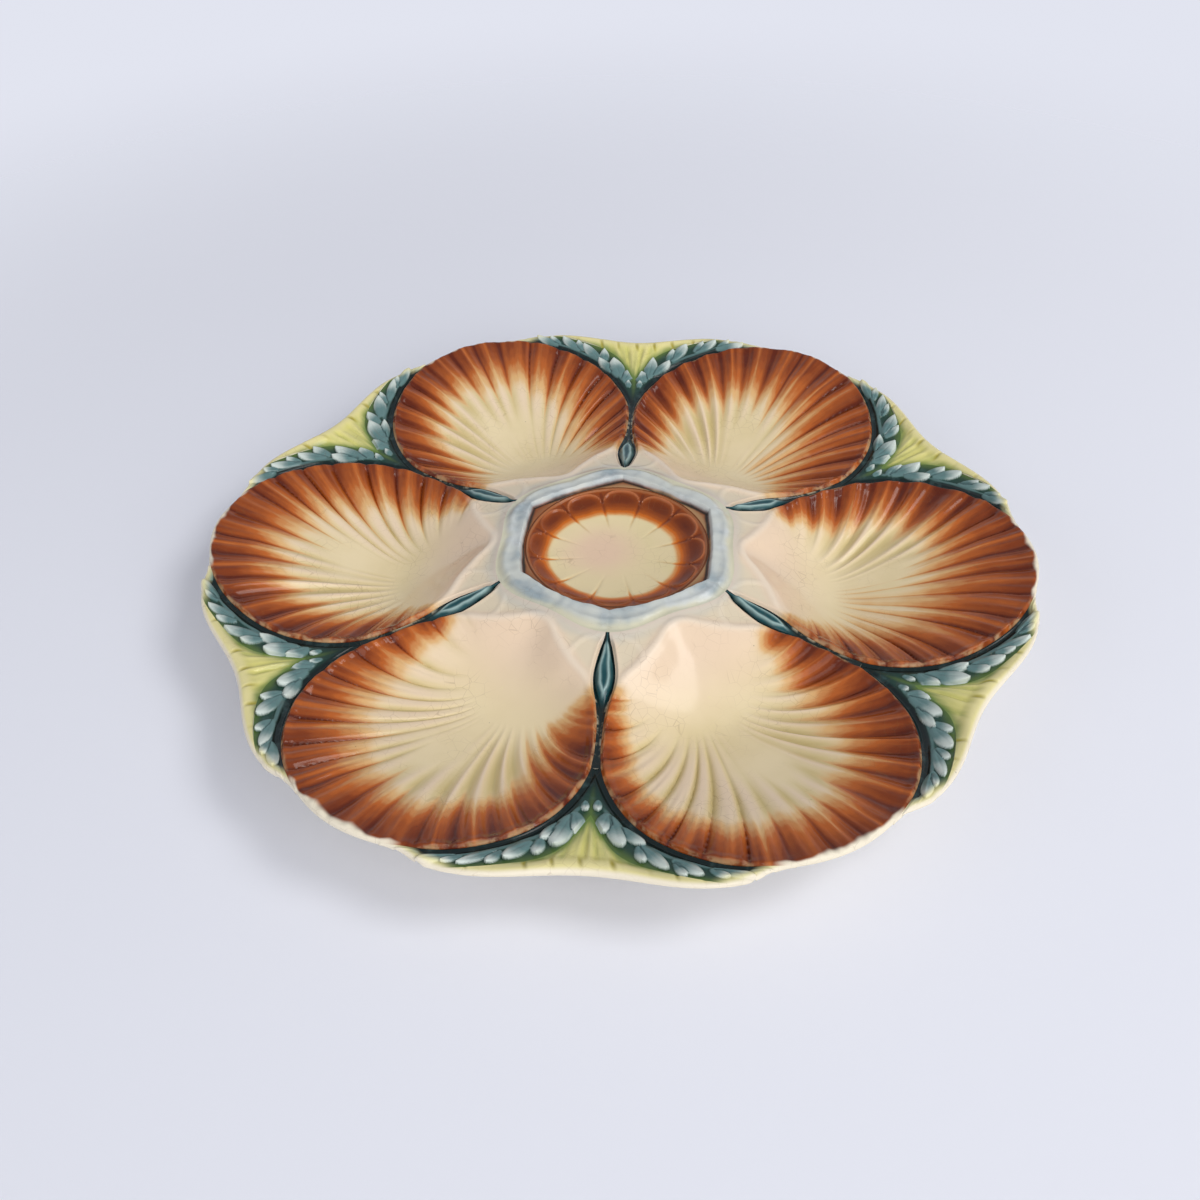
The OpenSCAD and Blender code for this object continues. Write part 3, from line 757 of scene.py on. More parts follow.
def build_panel(i, material):
    """Rim panel in the V between two sprays, along +X before it is turned. Rows run along the rim and
    columns from the V out to the rim, where a rounded lip with short marks stands up."""
    turn = np.linspace(math.radians(33), FORK, PANEL_STEPS)
    side = turned(spray_edge(turn), -HALF)
    border = np.concatenate([side, flipped(side[-2::-1])])
    rim_turn = PANEL_END_TURN * np.linspace(-1, 1, len(border))
    rim = polar(rim_reach(rim_turn), rim_turn)
    v = 1 - (1 - np.linspace(0, 1, PANEL_COLS)) ** 1.35
    p = border[:, None] + v[None, :, None] * (rim - border)[:, None]
    wide = norm(rim - border)[:, None]
    gap = rim_gap(turned(p, HALF))
    ends = smooth(np.abs(rim_turn), PANEL_END_TURN, PANEL_END_TURN * 0.86)[:, None]
    border_sink = ground_share(np.concatenate([turn, turn[-2::-1]]))[:, None]
    away = v[None] * wide
    rise = smooth(away, 0.3, 9) * ends
    angle = np.arctan2(p[..., 1], p[..., 0])
    fan = np.arctan2(p[..., 1], p[..., 0] - STREAK_X)
    streak = np.sin(fan * 34 + 1.7 * wander(fan * 6, i)) + 0.6 * np.sin(fan * 59 + 2.0 + i)
    count = norm(p) * angle / MARK_PITCH + 0.5 + 0.25 * wander(angle * 9, i + 40) + 0.03 * (gap - 3)
    marks = bump(((count % 1) - 0.5) / 0.13) * smooth(wander(np.floor(count) * 2.3, i + 60), -0.9, 0.1)
    lip = bump((gap - LIP_IN) / LIP_HALF) * ends
    z = web_h(norm(p)) - GROUND * (border_sink * (1 - rise))
    s = settings()
    z = z + lip * (s.lip_height / MM - 0.35 * marks) + s.streak_depth / MM * streak * rise * smooth(gap, 2.0, 6)
    z = z - rim_round(turned(p, HALF))
    near_leaf = smooth(away, 6.0, 0.0)
    core = smooth(norm(p), 111, 93)
    glaze = dict(green=np.clip(near_leaf * 0.8 + core * 0.35, 0, 1), streak=np.clip(0.5 + 0.5 * streak, 0, 1),
                 lip=smooth(gap, 4.6, 2.0), mark=marks * bump((gap - 3.2) / LIP_HALF) * ends,
                 ivory=smooth(gap, 1.4, 0.3))
    uv = np.stack([0.28 * fan, norm(p) / 100], -1)
    strip_piece("rim_panel_%d" % (i + 1), material, with_height(turned(p, HALF), z), glaze,
                uv, 2 * HALF * i)


# ------------------------------------------------------------- centre: collar and well

COLLAR_COLS = 64
RIM_H = COLLAR_H - 1.1
WELL_H = 17.15
HEX_R = 27.7
PULLED_TURN = 4.35  # about this turn the hexagon's corners are pulled in


def hex_radius(turn):
    """Inner edge of the collar's back: a softened hexagon with its corners at the pods."""
    fold = fold_turn(turn)
    corner = smooth(np.abs(fold), 0.15, HALF) * np.exp(-((turn % (2 * math.pi) - PULLED_TURN) / 0.75) ** 2)
    uneven = 0.18 * wander(turn * 4, 5, 4) + 0.10 * wander(turn * 17, 6, 3)
    return HEX_R / np.cos(fold) ** 0.74 - 1.7 * corner + uneven


def collar_turns():
    """Turns of the collar's rows; the pods' ends and the arcs between them share these."""
    arc = np.linspace(-1, 1, ARC_STEPS + 1) * (HALF - END_TURN)
    gap = np.linspace(HALF - END_TURN, HALF + END_TURN, 5)[1:-1]
    return np.concatenate([np.concatenate([arc, gap]) + 2 * HALF * k for k in range(SHELLS)])


def build_collar(material):
    """Collar: a ledge from the well out to a softened hexagon, a round step up, and a broad wavy back
    that falls to the plate at the collar's outer edge."""
    turn = collar_turns()[:, None]
    outer_r = collar_reach(turn)
    v = np.linspace(0, 1, COLLAR_COLS)[None]
    r = CENTRE_R + v * (outer_r - CENTRE_R)
    hexa = hex_radius(turn)
    scallop = np.abs(np.sin(np.pi * fold_turn(turn) / HALF)) ** 0.7
    edge = outer_r - 0.5 - 1.0 * (1 - scallop) - 0.3 * wander(turn * 3, 4)
    back = smooth(r, hexa - 0.25, hexa + 1.1)
    fall = smooth(r, edge + 0.5, edge - 2.6)
    flutes = 0.22 * wander(turn * 10, 2, 6) * smooth(r, edge, edge - 2)
    ground = blend(RIM_H, web_h(outer_r), v ** 0.5)
    crown = COLLAR_H + settings().collar_round / MM + flutes - 0.35 * bump((r - (hexa + edge) / 2) / 2.2)
    z = ground + back * fall * (crown - ground)
    z[:, -1] = web_h(outer_r[:, 0])
    z[:, 0] = RIM_H
    ledge_out = np.maximum(hexa, CENTRE_R + 0.8)
    glaze = dict(inner=smooth(r, hexa + 0.5, hexa - 0.15), edge=smooth(r, edge - 1.4, edge + 0.3),
                 line=bump((r - hexa + 0.35) / (0.8 + 0.3 * wander(turn * 5, 9, 5))),
                 ledge=smooth(r, ledge_out, CENTRE_R + 0.3) * (0.4 + 0.6 * smooth(np.cos(turn - 0.5), 0, 0.6)),
                 blue=fall * (1 - back * 0.2), ivory=np.zeros_like(z))
    lows = np.full(len(turn), COLLAR_H - WALL), web_h(outer_r[:, 0]) - WALL
    strip_piece("centre_collar", material, with_height(polar(r, turn), z), glaze,
                lows=lows, steps=4)


WELL_RINGS = 110
PETAL_R = 26.0
BEAD_R, BEAD_LINE_R = 26.8, 27.15
WELL_FLOOR = WELL_H - WALL - 0.15
WELL_UNDER = [0, 0.5, 0.8, 1.0], [WELL_FLOOR, 12.5, 14.9, COLLAR_H - WALL]


def build_well(material):
    """Centre well: a shallow bowl with a bead round its rim and twelve arched petals inside it, each a
    shallow scoop whose edge stands up as a thin ridge."""
    s = settings()
    turn = collar_turns()
    r = CENTRE_R * (1 - (1 - np.linspace(0, 1, WELL_RINGS + 1)[1:]) ** 1.25)
    r[-1] = CENTRE_R
    rr, tt = np.meshgrid(r, turn, indexing="ij")
    fold = fold_turn(tt, HALF / 2) / (HALF / 2)
    inside = PETAL_R - 3.4 * np.abs(fold) ** 3.2 - 1.6 * np.abs(fold) ** 14 - rr
    ridge = np.exp(-(inside / 0.42) ** 2)
    beside = (1 - np.abs(fold)) * rr * HALF / 2  # distance from the line between two petals
    flank = np.exp(-(beside / 0.6) ** 2) * smooth(rr, 13, 22) * smooth(rr, 24.5, 22)
    joint = np.exp(-(beside / 0.35) ** 2)
    scoop = smooth(inside, 0.2, 3.0) * smooth(rr, 15, 21) * (1 - fold ** 2)
    z = WELL_H + (RIM_H - WELL_H) * (rr / CENTRE_R) ** 2.7
    z = z + s.petal_ridge / MM * ridge - 0.38 * flank - s.petal_scoop / MM * scoop
    z = z + 0.35 * bump((rr - BEAD_R - 0.05) / 0.55) - 0.10 * joint * smooth(rr, 8, 14)
    z[-1] = RIM_H
    flat = polar(rr, tt)
    middle = 19.6 - 1.1 * np.cos(tt) - 2.0 * np.sin(tt) + 0.4 * wander(tt * 3, 21, 4)
    brown = smooth(rr, middle - 2.5, middle + 5.0) * 0.85 + 0.25 * scoop * smooth(rr, 20, 24)
    brown = brown + 0.25 * joint * smooth(rr, 15, 20) * smooth(rr, 27, 25) - 0.15 * smooth(rr, 25.5, 26.6)
    # painted highlight: the petals' ridges get a lighter orange that is strongest on the far side; the veins between
    # the petals are stronger there too
    far_side = smooth(np.cos(tt - 1.1), -0.2, 0.5)
    glaze = dict(brown=np.clip(brown, 0, BROWN_MOST), ridge=ridge * smooth(rr, 21, 24) * (0.3 + 0.7 * far_side),
                 line=bump((rr - BEAD_LINE_R) / 0.45), vein=joint * smooth(rr, 11, 16) * (0.4 + 0.6 * far_side),
                 rim=bump((rr - BEAD_R + 0.05) / 0.7), pink=smooth(norm(flat - np.array([-5.0, 1.0])), 16, 3),
                 ivory=np.zeros_like(z))
    low_r, low_t = np.meshgrid(np.array([1.0, 0.9, 0.75, 0.55, 0.3]) * CENTRE_R, turn, indexing="ij")
    low_z = np.interp(low_r / CENTRE_R, *WELL_UNDER)
    wall_z = blend(RIM_H, COLLAR_H - WALL, np.array([1 / 3, 2 / 3]))
    wall = np.stack([with_height(flat[-1], np.full(len(turn), h)) for h in wall_z])
    hubs = np.array([[0, 0, WELL_H], [0, 0, WELL_FLOOR]])
    lower = np.concatenate([wall, with_height(polar(low_r, low_t), low_z)])
    ring_piece("centre_well", material, hubs, with_height(flat, z), lower, glaze,
               {"pink": 1.0})


FOOT_STEPS = 480
FOOT_LEAN = 0.25


def build_foot(material):
    """Foot ring: a profile carried round, upright sides that lean in a little, rounded at the table
    and reaching up to the underside."""
    turn = np.linspace(0, 2 * math.pi, FOOT_STEPS, endpoint=False)[:, None]
    round_r = settings().foot_round / MM
    share = np.linspace(1, 0.25, 5)
    bend = np.linspace(0, math.pi / 2, 7)

    def side(edge, inwards):
        """One side of the profile, from the underside down to the table."""
        seat = np.maximum(FOOT_H, under_h(polar(edge, fold_turn(turn))) - 0.03)
        lean = np.concatenate([FOOT_LEAN * (1 - share), FOOT_LEAN + round_r * (1 - np.cos(bend))])
        round_z = np.broadcast_to(round_r * (1 - np.sin(bend)), (FOOT_STEPS, len(bend)))
        z = np.concatenate([seat * share + round_r * (1 - share), round_z], 1)
        return np.broadcast_to(edge + inwards * lean, z.shape), z
    r_out, z_out = side(FOOT_R + FOOT_W / 2, -1)
    r_in, z_in = side(FOOT_R - FOOT_W / 2, 1)
    r, z = np.concatenate([r_out, r_in[:, ::-1]], 1), np.concatenate([z_out, z_in[:, ::-1]], 1)
    points = with_height(polar(r, turn), z).reshape(-1, 3)
    glaze = dict(bare=smooth(z, 0.9, 0.2))
    make_piece("foot_ring", material, points, grid_quads(*r.shape, True, True), glaze)


# ------------------------------------------------------------------------- glazes

def tint(colour):
    """Display values between 0 and 255 of a colour that may be given as its key in the settings."""
    return tuple(255 * v for v in getattr(settings(), colour)) if isinstance(colour, str) else colour


def shade(colour):
    """Linear colour from display values between 0 and 255."""
    v = np.asarray(tint(colour), float) / 255
    linear = np.where(v <= 0.04045, v / 12.92, ((np.maximum(v, 0.04) + 0.055) / 1.055) ** 2.4)
    return (*linear.tolist(), 1.0)


def between(a, b, share):
    return tuple(x + (y - x) * share for x, y in zip(tint(a), tint(b)))


def add_node(tree, kind, inputs=None, **values):
    """Adds a node. An input that is given as a socket is linked to it, and any other is set."""
    node = tree.nodes.new(kind)
    for key, value in values.items():
        setattr(node, key, value)
    for key, value in (inputs or {}).items():
        if isinstance(value, bpy.types.NodeSocket):
            tree.links.new(value, node.inputs[key])
        else:
            node.inputs[key].default_value = value
    return node


def node_material(name):
    """A material with an empty node tree."""
    mat = bpy.data.materials.new(name)
    mat.use_nodes = True
    mat.node_tree.nodes.clear()
    return mat


SPECULAR = 0.19
CRACK_COLOUR = (124, 88, 50)
SPECK_COLOUR = (60, 40, 28)


class Glaze:
    """Builds one glaze: a ground colour with layers mixed over it, each led by an attribute of the
    piece and broken up by noise, then fine cracks, specks, a soft unevenness and a glossy surface."""

    def __init__(self, name, ground, dull=0.0):
        self.mat = node_material(name)
        self.rough = settings().gloss + dull
        self.colour = shade(ground)
        self.places = {"Object": self.node("ShaderNodeTexCoord").outputs["Object"],
                       "UV": self.node("ShaderNodeUVMap", uv_map="surface").outputs[0]}

    def node(self, kind, inputs=None, **values):
        return add_node(self.mat.node_tree, kind, inputs, **values)

    def math(self, kind, a, b, clamp=False):
        return self.node("ShaderNodeMath", {0: a, 1: b}, operation=kind, use_clamp=clamp).outputs[0]

    def times(self, a, b, clamp=False):
        return self.math("MULTIPLY", a, b, clamp)

    def plus(self, a, b, clamp=False):
        return self.math("ADD", a, b, clamp)

    def noise(self, scale, detail=3.0, rough=0.55, source="Object", stretch=None):
        """Noise on the piece's own coordinates, stretched where a pattern runs one way."""
        place = self.places[source]
        if stretch:
            place = self.node("ShaderNodeMapping", {"Vector": place, "Scale": stretch}).outputs[0]
        inputs = {"Vector": place, "Scale": scale, "Detail": detail, "Roughness": rough}
        return self.node("ShaderNodeTexNoise", inputs).outputs["Fac"]

    def wobble(self, amount, *noise, **more):
        """Noise about zero, of this strength."""
        return self.times(self.math("SUBTRACT", self.noise(*noise, **more), 0.5), amount)

    def ramp(self, value, low, high):
        inputs = {"Value": value, "From Min": low, "From Max": high}
        return self.node("ShaderNodeMapRange", inputs, interpolation_type="SMOOTHSTEP").outputs[0]

    def attribute(self, name):
        return self.node("ShaderNodeAttribute", attribute_name=name).outputs["Fac"]

    def mix(self, factor, colour):
        """Lays a colour, or a socket's colours, over what is there."""
        over = colour if isinstance(colour, bpy.types.NodeSocket) else shade(colour)
        inputs = {0: factor, 6: self.colour, 7: over}
        self.colour = self.node("ShaderNodeMix", inputs, data_type="RGBA", blend_type="MIX").outputs[2]

    def steps(self, value, stops):
        """Colour that runs smoothly through these stops, placed by the thickness of the brown."""
        n = self.node("ShaderNodeValToRGB", {0: self.math("DIVIDE", value, BROWN_MOST)})
        n.color_ramp.interpolation = "EASE"
        items = n.color_ramp.elements
        while len(items) < len(stops):
            items.new(0.5)
        for item, (place, colour) in zip(items, stops):
            item.position = place / BROWN_MOST
            item.color = shade(colour)
        return n.outputs[0]

    def layer(self, name, colour, amount=1.0, breakup=0.35, scale=220.0, source="Object", stretch=None):
        """Mixes a colour in where the attribute is high; noise moves the edge of the area."""
        a = led = self.attribute(name)
        if breakup:
            wobble = self.wobble(breakup, scale, source=source, stretch=stretch)
            spread = self.times(self.times(a, self.math("SUBTRACT", 1.0, a)), 4.0)
            a = self.plus(a, self.times(wobble, self.plus(spread, 0.15)), clamp=True)
            a = self.times(a, self.ramp(led, 0.0, 0.04))
        self.mix(self.times(a, amount, clamp=True), colour)

    def mottle(self, colour, scale, low, high, amount, source="Object", stretch=None):
        """Mixes a colour in where noise is high."""
        f = self.ramp(self.noise(scale, source=source, stretch=stretch), low, high)
        self.mix(self.times(f, amount), colour)

    def worn(self, name, scale, low, high, amount, colour):
        """Mixes a colour in where both the attribute and a rough noise are high."""
        patches = self.ramp(self.noise(scale, 4.0), low, high)
        self.mix(self.times(self.times(self.attribute(name), patches), amount), colour)

    def cells(self, feature, scale, far, near):
        """Lines or dots of a cell pattern, where the distance to them runs from far to near."""
        inputs = {"Vector": self.places["Object"], "Scale": scale}
        pattern = self.node("ShaderNodeTexVoronoi", inputs, feature=feature)
        return self.ramp(pattern.outputs["Distance"], far, near)

    def finish(self, craze=1.0):
        """Adds cracks and specks and closes the material with its glossy, slightly wavy surface."""
        s = settings()
        crack = self.times(self.cells("DISTANCE_TO_EDGE", 330.0, 0.028, 0.006), self.ramp(self.noise(60), 0.42, 0.66))
        self.mix(self.times(crack, craze * s.craze), CRACK_COLOUR)
        speck = self.times(self.cells("F1", 420.0, 0.10, 0.05), self.ramp(self.noise(900, 1.0), 0.66, 0.72))
        self.mix(self.times(speck, s.specks), SPECK_COLOUR)
        rough = self.plus(self.times(self.noise(120, 2.0), 0.10), self.rough - 0.04)
        height = self.plus(self.noise(300, 3.0), self.times(self.noise(70, 1.0), 2.0))
        bumpy = self.node("ShaderNodeBump", {"Distance": 0.00025, "Strength": s.waviness, "Height": height})
        skin = self.node("ShaderNodeBsdfPrincipled", {
            "Base Color": self.colour, "Roughness": rough, "Normal": bumpy.outputs[0],
            "Specular IOR Level": SPECULAR, "IOR": 1.5})
        self.node("ShaderNodeOutputMaterial", {0: skin.outputs[0]})
        return self.mat


def shell_glaze():
    """Cream that runs through gold and orange to deep brown where the brown glaze lies thick."""
    g = Glaze("shell_glaze_look", "cream")
    g.mottle(between("cream", "olive", 0.4), 40, 0.40, 0.75, 0.6)
    g.layer("pink", "rose", 0.8, 0.6, 40)
    g.layer("ear", (220, 208, 182), 0.8, 0.9, 50)
    g.layer("rosy", between("rose", "cream", 0.2), 0.8, 0.5, 60)
    g.layer("olive", "olive", 0.85, 0.5, 10, "UV", (4, 1, 1))
    uneven = g.plus(g.wobble(0.26, 10, 5.0, 0.62, "UV", (9, 0.9, 1)), g.wobble(0.28, 130, 3.0))
    thick = g.attribute("brown")
    thick = g.plus(thick, g.times(g.ramp(thick, 0.03, 0.4), uneven))
    g.mix(g.ramp(thick, 0.02, 0.30), g.steps(thick, [
        (0.06, between("cream", "brown_thin", 0.35)), (0.28, "brown_thin"),
        (0.46, between("brown_thin", "brown", 0.5)), (0.64, "brown"), (0.82, between("brown", "brown_deep", 0.30)),
        (1.0, between("brown", "brown_deep", 0.62)), (1.22, "brown_deep")]))
    # painted highlight along the raised hinge line and the ears' arcs
    g.layer("crease", (236, 224, 206), 0.5, 0.3)
    g.layer("spill", between("collar", "collar_cloud", 0.4), 0.38, 2.4, 70)
    g.worn("pale", 260, 0.42, 0.60, 0.55, (212, 178, 132))
    g.layer("ivory", "ivory", 1.0, 0.3)
    return g.finish()


def leaf_glaze():
    """Dark teal ground turning green outwards, under pale blue-grey leaves with whitish tips and a painted highlight
    along their rims.
    """
    g = Glaze("leaf_glaze_look", (58, 84, 56))
    g.mottle((30, 62, 52), 120, 0.4, 0.7, 0.8)
    g.layer("green", "moss", 0.85, 0.7, 120)
    g.layer("gap", (20, 56, 52), 0.85, 0.7, 160)
    g.layer("line", "dark", 0.96, 0.4, 200)
    g.layer("leaf", "leaf", 1.0, 0.3, 200)
    g.mottle(between("leaf", "dark", 0.25), 260, 0.5, 0.75, 0.35)
    # whitish tips, and a painted highlight along the lobes' rims
    g.layer("tip", "leaf_tip_and_highlight", 0.95, 0.9, 220)
    g.layer("seam", between("leaf", "dark", 0.5), 0.75, 0.8, 220)
    g.layer("lip", (224, 216, 160), 0.9, 0.4, 160)
    g.layer("ivory", "ivory", 1.0, 0.3)
    return g.finish(craze=0.6)


def pod_glaze():
    """Teal pod with pale veins on a near black channel that is worn to cream along its edges."""
    g = Glaze("pod_glaze_look", "pod")
    g.mottle(between("pod", "pod_vein", 0.25), 160, 0.45, 0.75, 0.6)
    g.layer("channel", (22, 32, 30), 0.95, 0.2, 200)
    g.layer("line", "dark", 0.9, 0.3, 200)
    g.layer("vein", "pod_vein", 0.95, 0.5, 300)
    g.worn("worn", 330, 0.46, 0.60, 0.9, (182, 172, 146))
    g.layer("ivory", "ivory", 1.0, 0.0)
    return g.finish(craze=0.4)


def rim_glaze():
    """Yellow-green with pale and olive streaks that run out from the V to a pale lip."""
    g = Glaze("rim_glaze_look", "panel")
    g.mottle(between("panel", "panel_green", 0.28), 10, 0.45, 0.70, 0.75, "UV", (3.2, 0.8, 1))
    g.layer("streak", between("panel", "lip", 0.65), 0.7, 0.8, 10, "UV", (3, 0.8, 1))
    g.layer("green", "panel_green", 0.95, 1.3, 10, "UV", (2.6, 0.9, 1))
    g.layer("lip", "lip", 0.9, 0.7, 120)
    g.layer("mark", (158, 146, 44), 0.9, 0.6, 260)
    g.layer("ivory", "ivory", 1.0, 0.3)
    return g.finish(craze=0.8)


def collar_glaze():
    """Blue-white with cloudy grey-blue patches, brown inside, with a broken black line between."""
    g = Glaze("collar_glaze_look", (208, 204, 176))
    g.layer("blue", "collar", 1.0, 0.5, 120)
    g.mottle("collar_cloud", 60, 0.46, 0.68, 0.8)
    g.mottle(between("collar", (255, 255, 255), 0.2), 110, 0.50, 0.70, 0.7)
    g.layer("edge", (208, 205, 180), 0.7, 1.2, 140)
    g.layer("inner", between("ring", "ring_deep", 0.6), 1.0, 0.2, 200)
    g.layer("ledge", (178, 146, 104), 0.75, 0.6, 200)
    g.layer("line", (26, 34, 30), 0.95, 1.1, 240)
    g.layer("ivory", "ivory", 1.0, 0.0)
    return g.finish(craze=0.6)


def centre_glaze():
    """Cream floor with a pink cloud, then the brown glaze that thickens towards the petals, with a painted highlight
    along the petals' ridges.
    """
    g = Glaze("centre_glaze_look", between("cream", "olive", 0.15))
    g.mottle((216, 204, 150), 50, 0.45, 0.70, 0.4)
    g.layer("pink", (228, 198, 172), 0.9, 0.8, 60)
    g.layer("vein", (190, 150, 92), 0.6, 0.6, 120)
    thick = g.attribute("brown")
    thick = g.plus(thick, g.times(g.ramp(thick, 0.03, 0.3), g.wobble(0.30, 170, 4.0)))
    g.mix(g.ramp(thick, 0.02, 0.24), g.steps(thick, [
        (0.05, (224, 192, 132)), (0.22, between("cream", "ring", 0.65)), (0.40, "ring"),
        (0.58, between("ring", "ring_deep", 0.33)), (0.78, between("ring", "ring_deep", 0.55)),
        (1.0, between("ring", "ring_deep", 0.78)), (1.25, "ring_deep")]))
    # painted highlight along the petals' ridges
    g.layer("ridge", (198, 122, 78), 0.7, 0.7, 300)
    g.layer("rim", (170, 116, 76), 0.6, 0.5, 200)
    g.layer("line", (60, 36, 20), 0.7, 0.6, 200)
    g.layer("ivory", "ivory", 1.0, 0.0)
    return g.finish()


def foot_glaze():
    """Ivory glaze, with the bare clay showing where the ring stands on the table."""
    g = Glaze("foot_glaze_look", "ivory", 0.07)
    g.mottle((222, 208, 178), 60, 0.45, 0.7, 0.6)
    g.layer("bare", "clay", 0.95, 0.4, 400)
    return g.finish(craze=1.6)


# ------------------------------------------------------------- settings and operators

def size_value(name, description, default, low, high):
    """A length in metres, given in millimetres."""
    return FloatProperty(name=name, description=description, default=default * MM, min=low * MM, max=high * MM,
                         unit="LENGTH", precision=5)


def share_value(name, description, default):
    return FloatProperty(name=name, description=description, default=default, min=0, max=1, subtype="FACTOR")


def colour_value(name, description, rgb):
    """A glaze's colour, given as display values between 0 and 255."""
    return FloatVectorProperty(name=name, description=description, subtype="COLOR_GAMMA", size=3, min=0, max=1,
                               default=tuple(v / 255 for v in rgb))


def angle_value(name, description, default):
    return FloatProperty(name=name, description=description, default=default, unit="ROTATION")


def power_value(name, description, default):
    return FloatProperty(name=name, description=description, default=default, min=0, unit="POWER")


class PlateSettings(PropertyGroup):
    rib_height: size_value("Rib height", "Height of a shell's ribs over the grooves", 1.55, 0, 2)
    rib_pitch: size_value("Rib width", "Width of one rib at the shell's edge", 10.4, 6, 16)
    fine_depth: size_value("Fine lines", "Depth of the fine lines between a shell's ribs", 0.14, 0, 0.3)
    shell_edge: size_value("Shell edge", "Height of the raised edge round a shell", 0.5, 0, 0.8)
    brim_round: size_value("Brim", "Roundness of a shell's brim at its hinge", 2.6, 0.5, 5)
    leaf_height: size_value("Leaf height", "Height of the leaves over the dark ground", 1.7, 0.2, 2)
    pod_height: size_value("Pod height", "Height of the pods over their channels", 1.9, 0.2, 2.2)
    lip_height: size_value("Lip height", "Height of the lip along the rim panels", 0.6, 0.35, 1)
    streak_depth: size_value("Panel streaks", "Depth of the streaks on the rim panels", 0.24, 0, 0.4)
    collar_round: size_value("Collar back", "Rise of the collar's rounded back", 0.95, 0, 1.2)
    petal_ridge: size_value("Petal ridge", "Height of the ridge round the centre's petals", 0.42, 0, 0.6)
    petal_scoop: size_value("Petal hollow", "Depth of the centre's petals", 0.28, 0, 0.6)
    foot_round: size_value("Foot rounding", "Radius of the foot ring's edges at the table", 1.6, 0.3, 1.9)
    gloss: share_value("Roughness", "Roughness of the glazed surface", 0.13)
    craze: share_value("Crazing", "Strength of the fine cracks in the glaze", 0.25)
    specks: share_value("Specks", "Strength of the dark specks in the glaze", 0.5)
    waviness: share_value("Waviness", "Unevenness of the glaze's surface", 0.10)
    cream: colour_value("Cream", "Floor of the shells and of the centre", (234, 217, 178))
    rose: colour_value("Rose", "Blush at the shells' hinges and on the ribs", (230, 206, 184))
    olive: colour_value("Olive", "Grooves between the pale parts of the ribs", (196, 176, 114))
    brown_thin: colour_value("Thin brown", "Brown glaze where it thins out", (216, 174, 120))
    brown: colour_value("Brown", "Brown glaze in the band round a shell", (178, 94, 38))
    brown_deep: colour_value("Deep brown", "Brown glaze where it lies thickest", (92, 31, 6))
    ring: colour_value("Ring", "Orange of the centre well's ring", (198, 102, 22))
    ring_deep: colour_value("Deep ring", "Brown where the centre's glaze lies thickest", (84, 29, 6))
    leaf: colour_value("Leaf", "Blue-grey base of the leaves", (96, 128, 128))
    # this colour is also the painted highlight along the leaves' rims
    leaf_tip_and_highlight: colour_value("Leaf tip", "Whitish tips of the leaves", (206, 216, 210))
    dark: colour_value("Dark line", "Near black between the leaves and the shells", (10, 28, 28))
    moss: colour_value("Moss", "Green ground on the outer side of the leaves", (96, 120, 54))
    pod: colour_value("Pod", "Teal of the pods", (18, 68, 74))
    pod_vein: colour_value("Pod vein", "Pale veins of the pods", (150, 178, 176))
    panel: colour_value("Panel", "Yellow-green of the rim panels", (212, 206, 124))
    panel_green: colour_value("Panel green", "Green beside the leaves and in the V", (92, 124, 58))
    lip: colour_value("Lip", "Pale yellow lip of the rim panels", (226, 216, 158))
    collar: colour_value("Collar", "Blue-white of the collar", (196, 203, 204))
    collar_cloud: colour_value("Collar cloud", "Grey-blue patches on the collar", (134, 152, 162))
    ivory: colour_value("Ivory", "Outer wall and underside", (230, 221, 200))
    clay: colour_value("Clay", "Bare clay under the foot ring", (214, 192, 156))
    camera_reach: FloatProperty(name="Camera distance", description="From the collar's middle to the camera",
                                default=0.35512, min=0.1, unit="LENGTH")
    camera_rise: angle_value("Camera elevation", "Angle of the view above the table", 0.7548)
    camera_roll: angle_value("Camera roll", "Turn of the picture about the view", 0.0232)
    plate_turn: angle_value("Plate turn", "Turn of the plate as the camera sees it", -0.0920)
    lens: FloatProperty(name="Lens", description="Focal length on a 36 mm wide sensor, in millimetres",
                        default=35.837, min=5)
    floor_size: FloatProperty(name="Floor size", description="Half of the floor's side", default=0.9,
                              min=0.3, unit="LENGTH")
    floor_colour: FloatVectorProperty(name="Floor colour", description="Pale floor under the plate",
                                      subtype="COLOR", default=(0.83, 0.85, 0.93), size=3, min=0, max=1)
    key_power: power_value("Key light", "Power of the large light on the right", 11.2)
    front_power: power_value("Front light", "Power of the broad light in front", 38.5)
    fill_power: power_value("Fill light", "Power of the light on the left", 5.0)
    sky: FloatProperty(name="Sky", description="Strength of the even light from all round", default=0.36, min=0)


def settings():
    return bpy.context.scene.oyster_plate


def build_each(build, *shared):
    """Builds one piece for each shell."""
    for i in range(SHELLS):
        build(i, *shared)
    return {"FINISHED"}


class PLATE_OT_shells(Operator):
    """Six scallop shell wells with ribs and a brown rim"""
    bl_idname = "plate.shells"
    bl_label = "Shells"

    def execute(self, context):
        return build_each(build_shell, shell_grid(), shell_glaze())


class PLATE_OT_sprays(Operator):
    """Twelve leaf sprays, one on each flank of each shell"""
    bl_idname = "plate.sprays"
    bl_label = "Leaf sprays"

    def execute(self, context):
        material = leaf_glaze()
        build_each(build_spray, True, material)
        return build_each(build_spray, False, material)


class PLATE_OT_pods(Operator):
    """Six pods with the dark channels behind them"""
    bl_idname = "plate.pods"
    bl_label = "Pods"

    def execute(self, context):
        return build_each(build_pod, pod_glaze())


class PLATE_OT_panels(Operator):
    """Six yellow-green rim panels with a pale lip"""
    bl_idname = "plate.panels"
    bl_label = "Rim panels"

    def execute(self, context):
        return build_each(build_panel, rim_glaze())


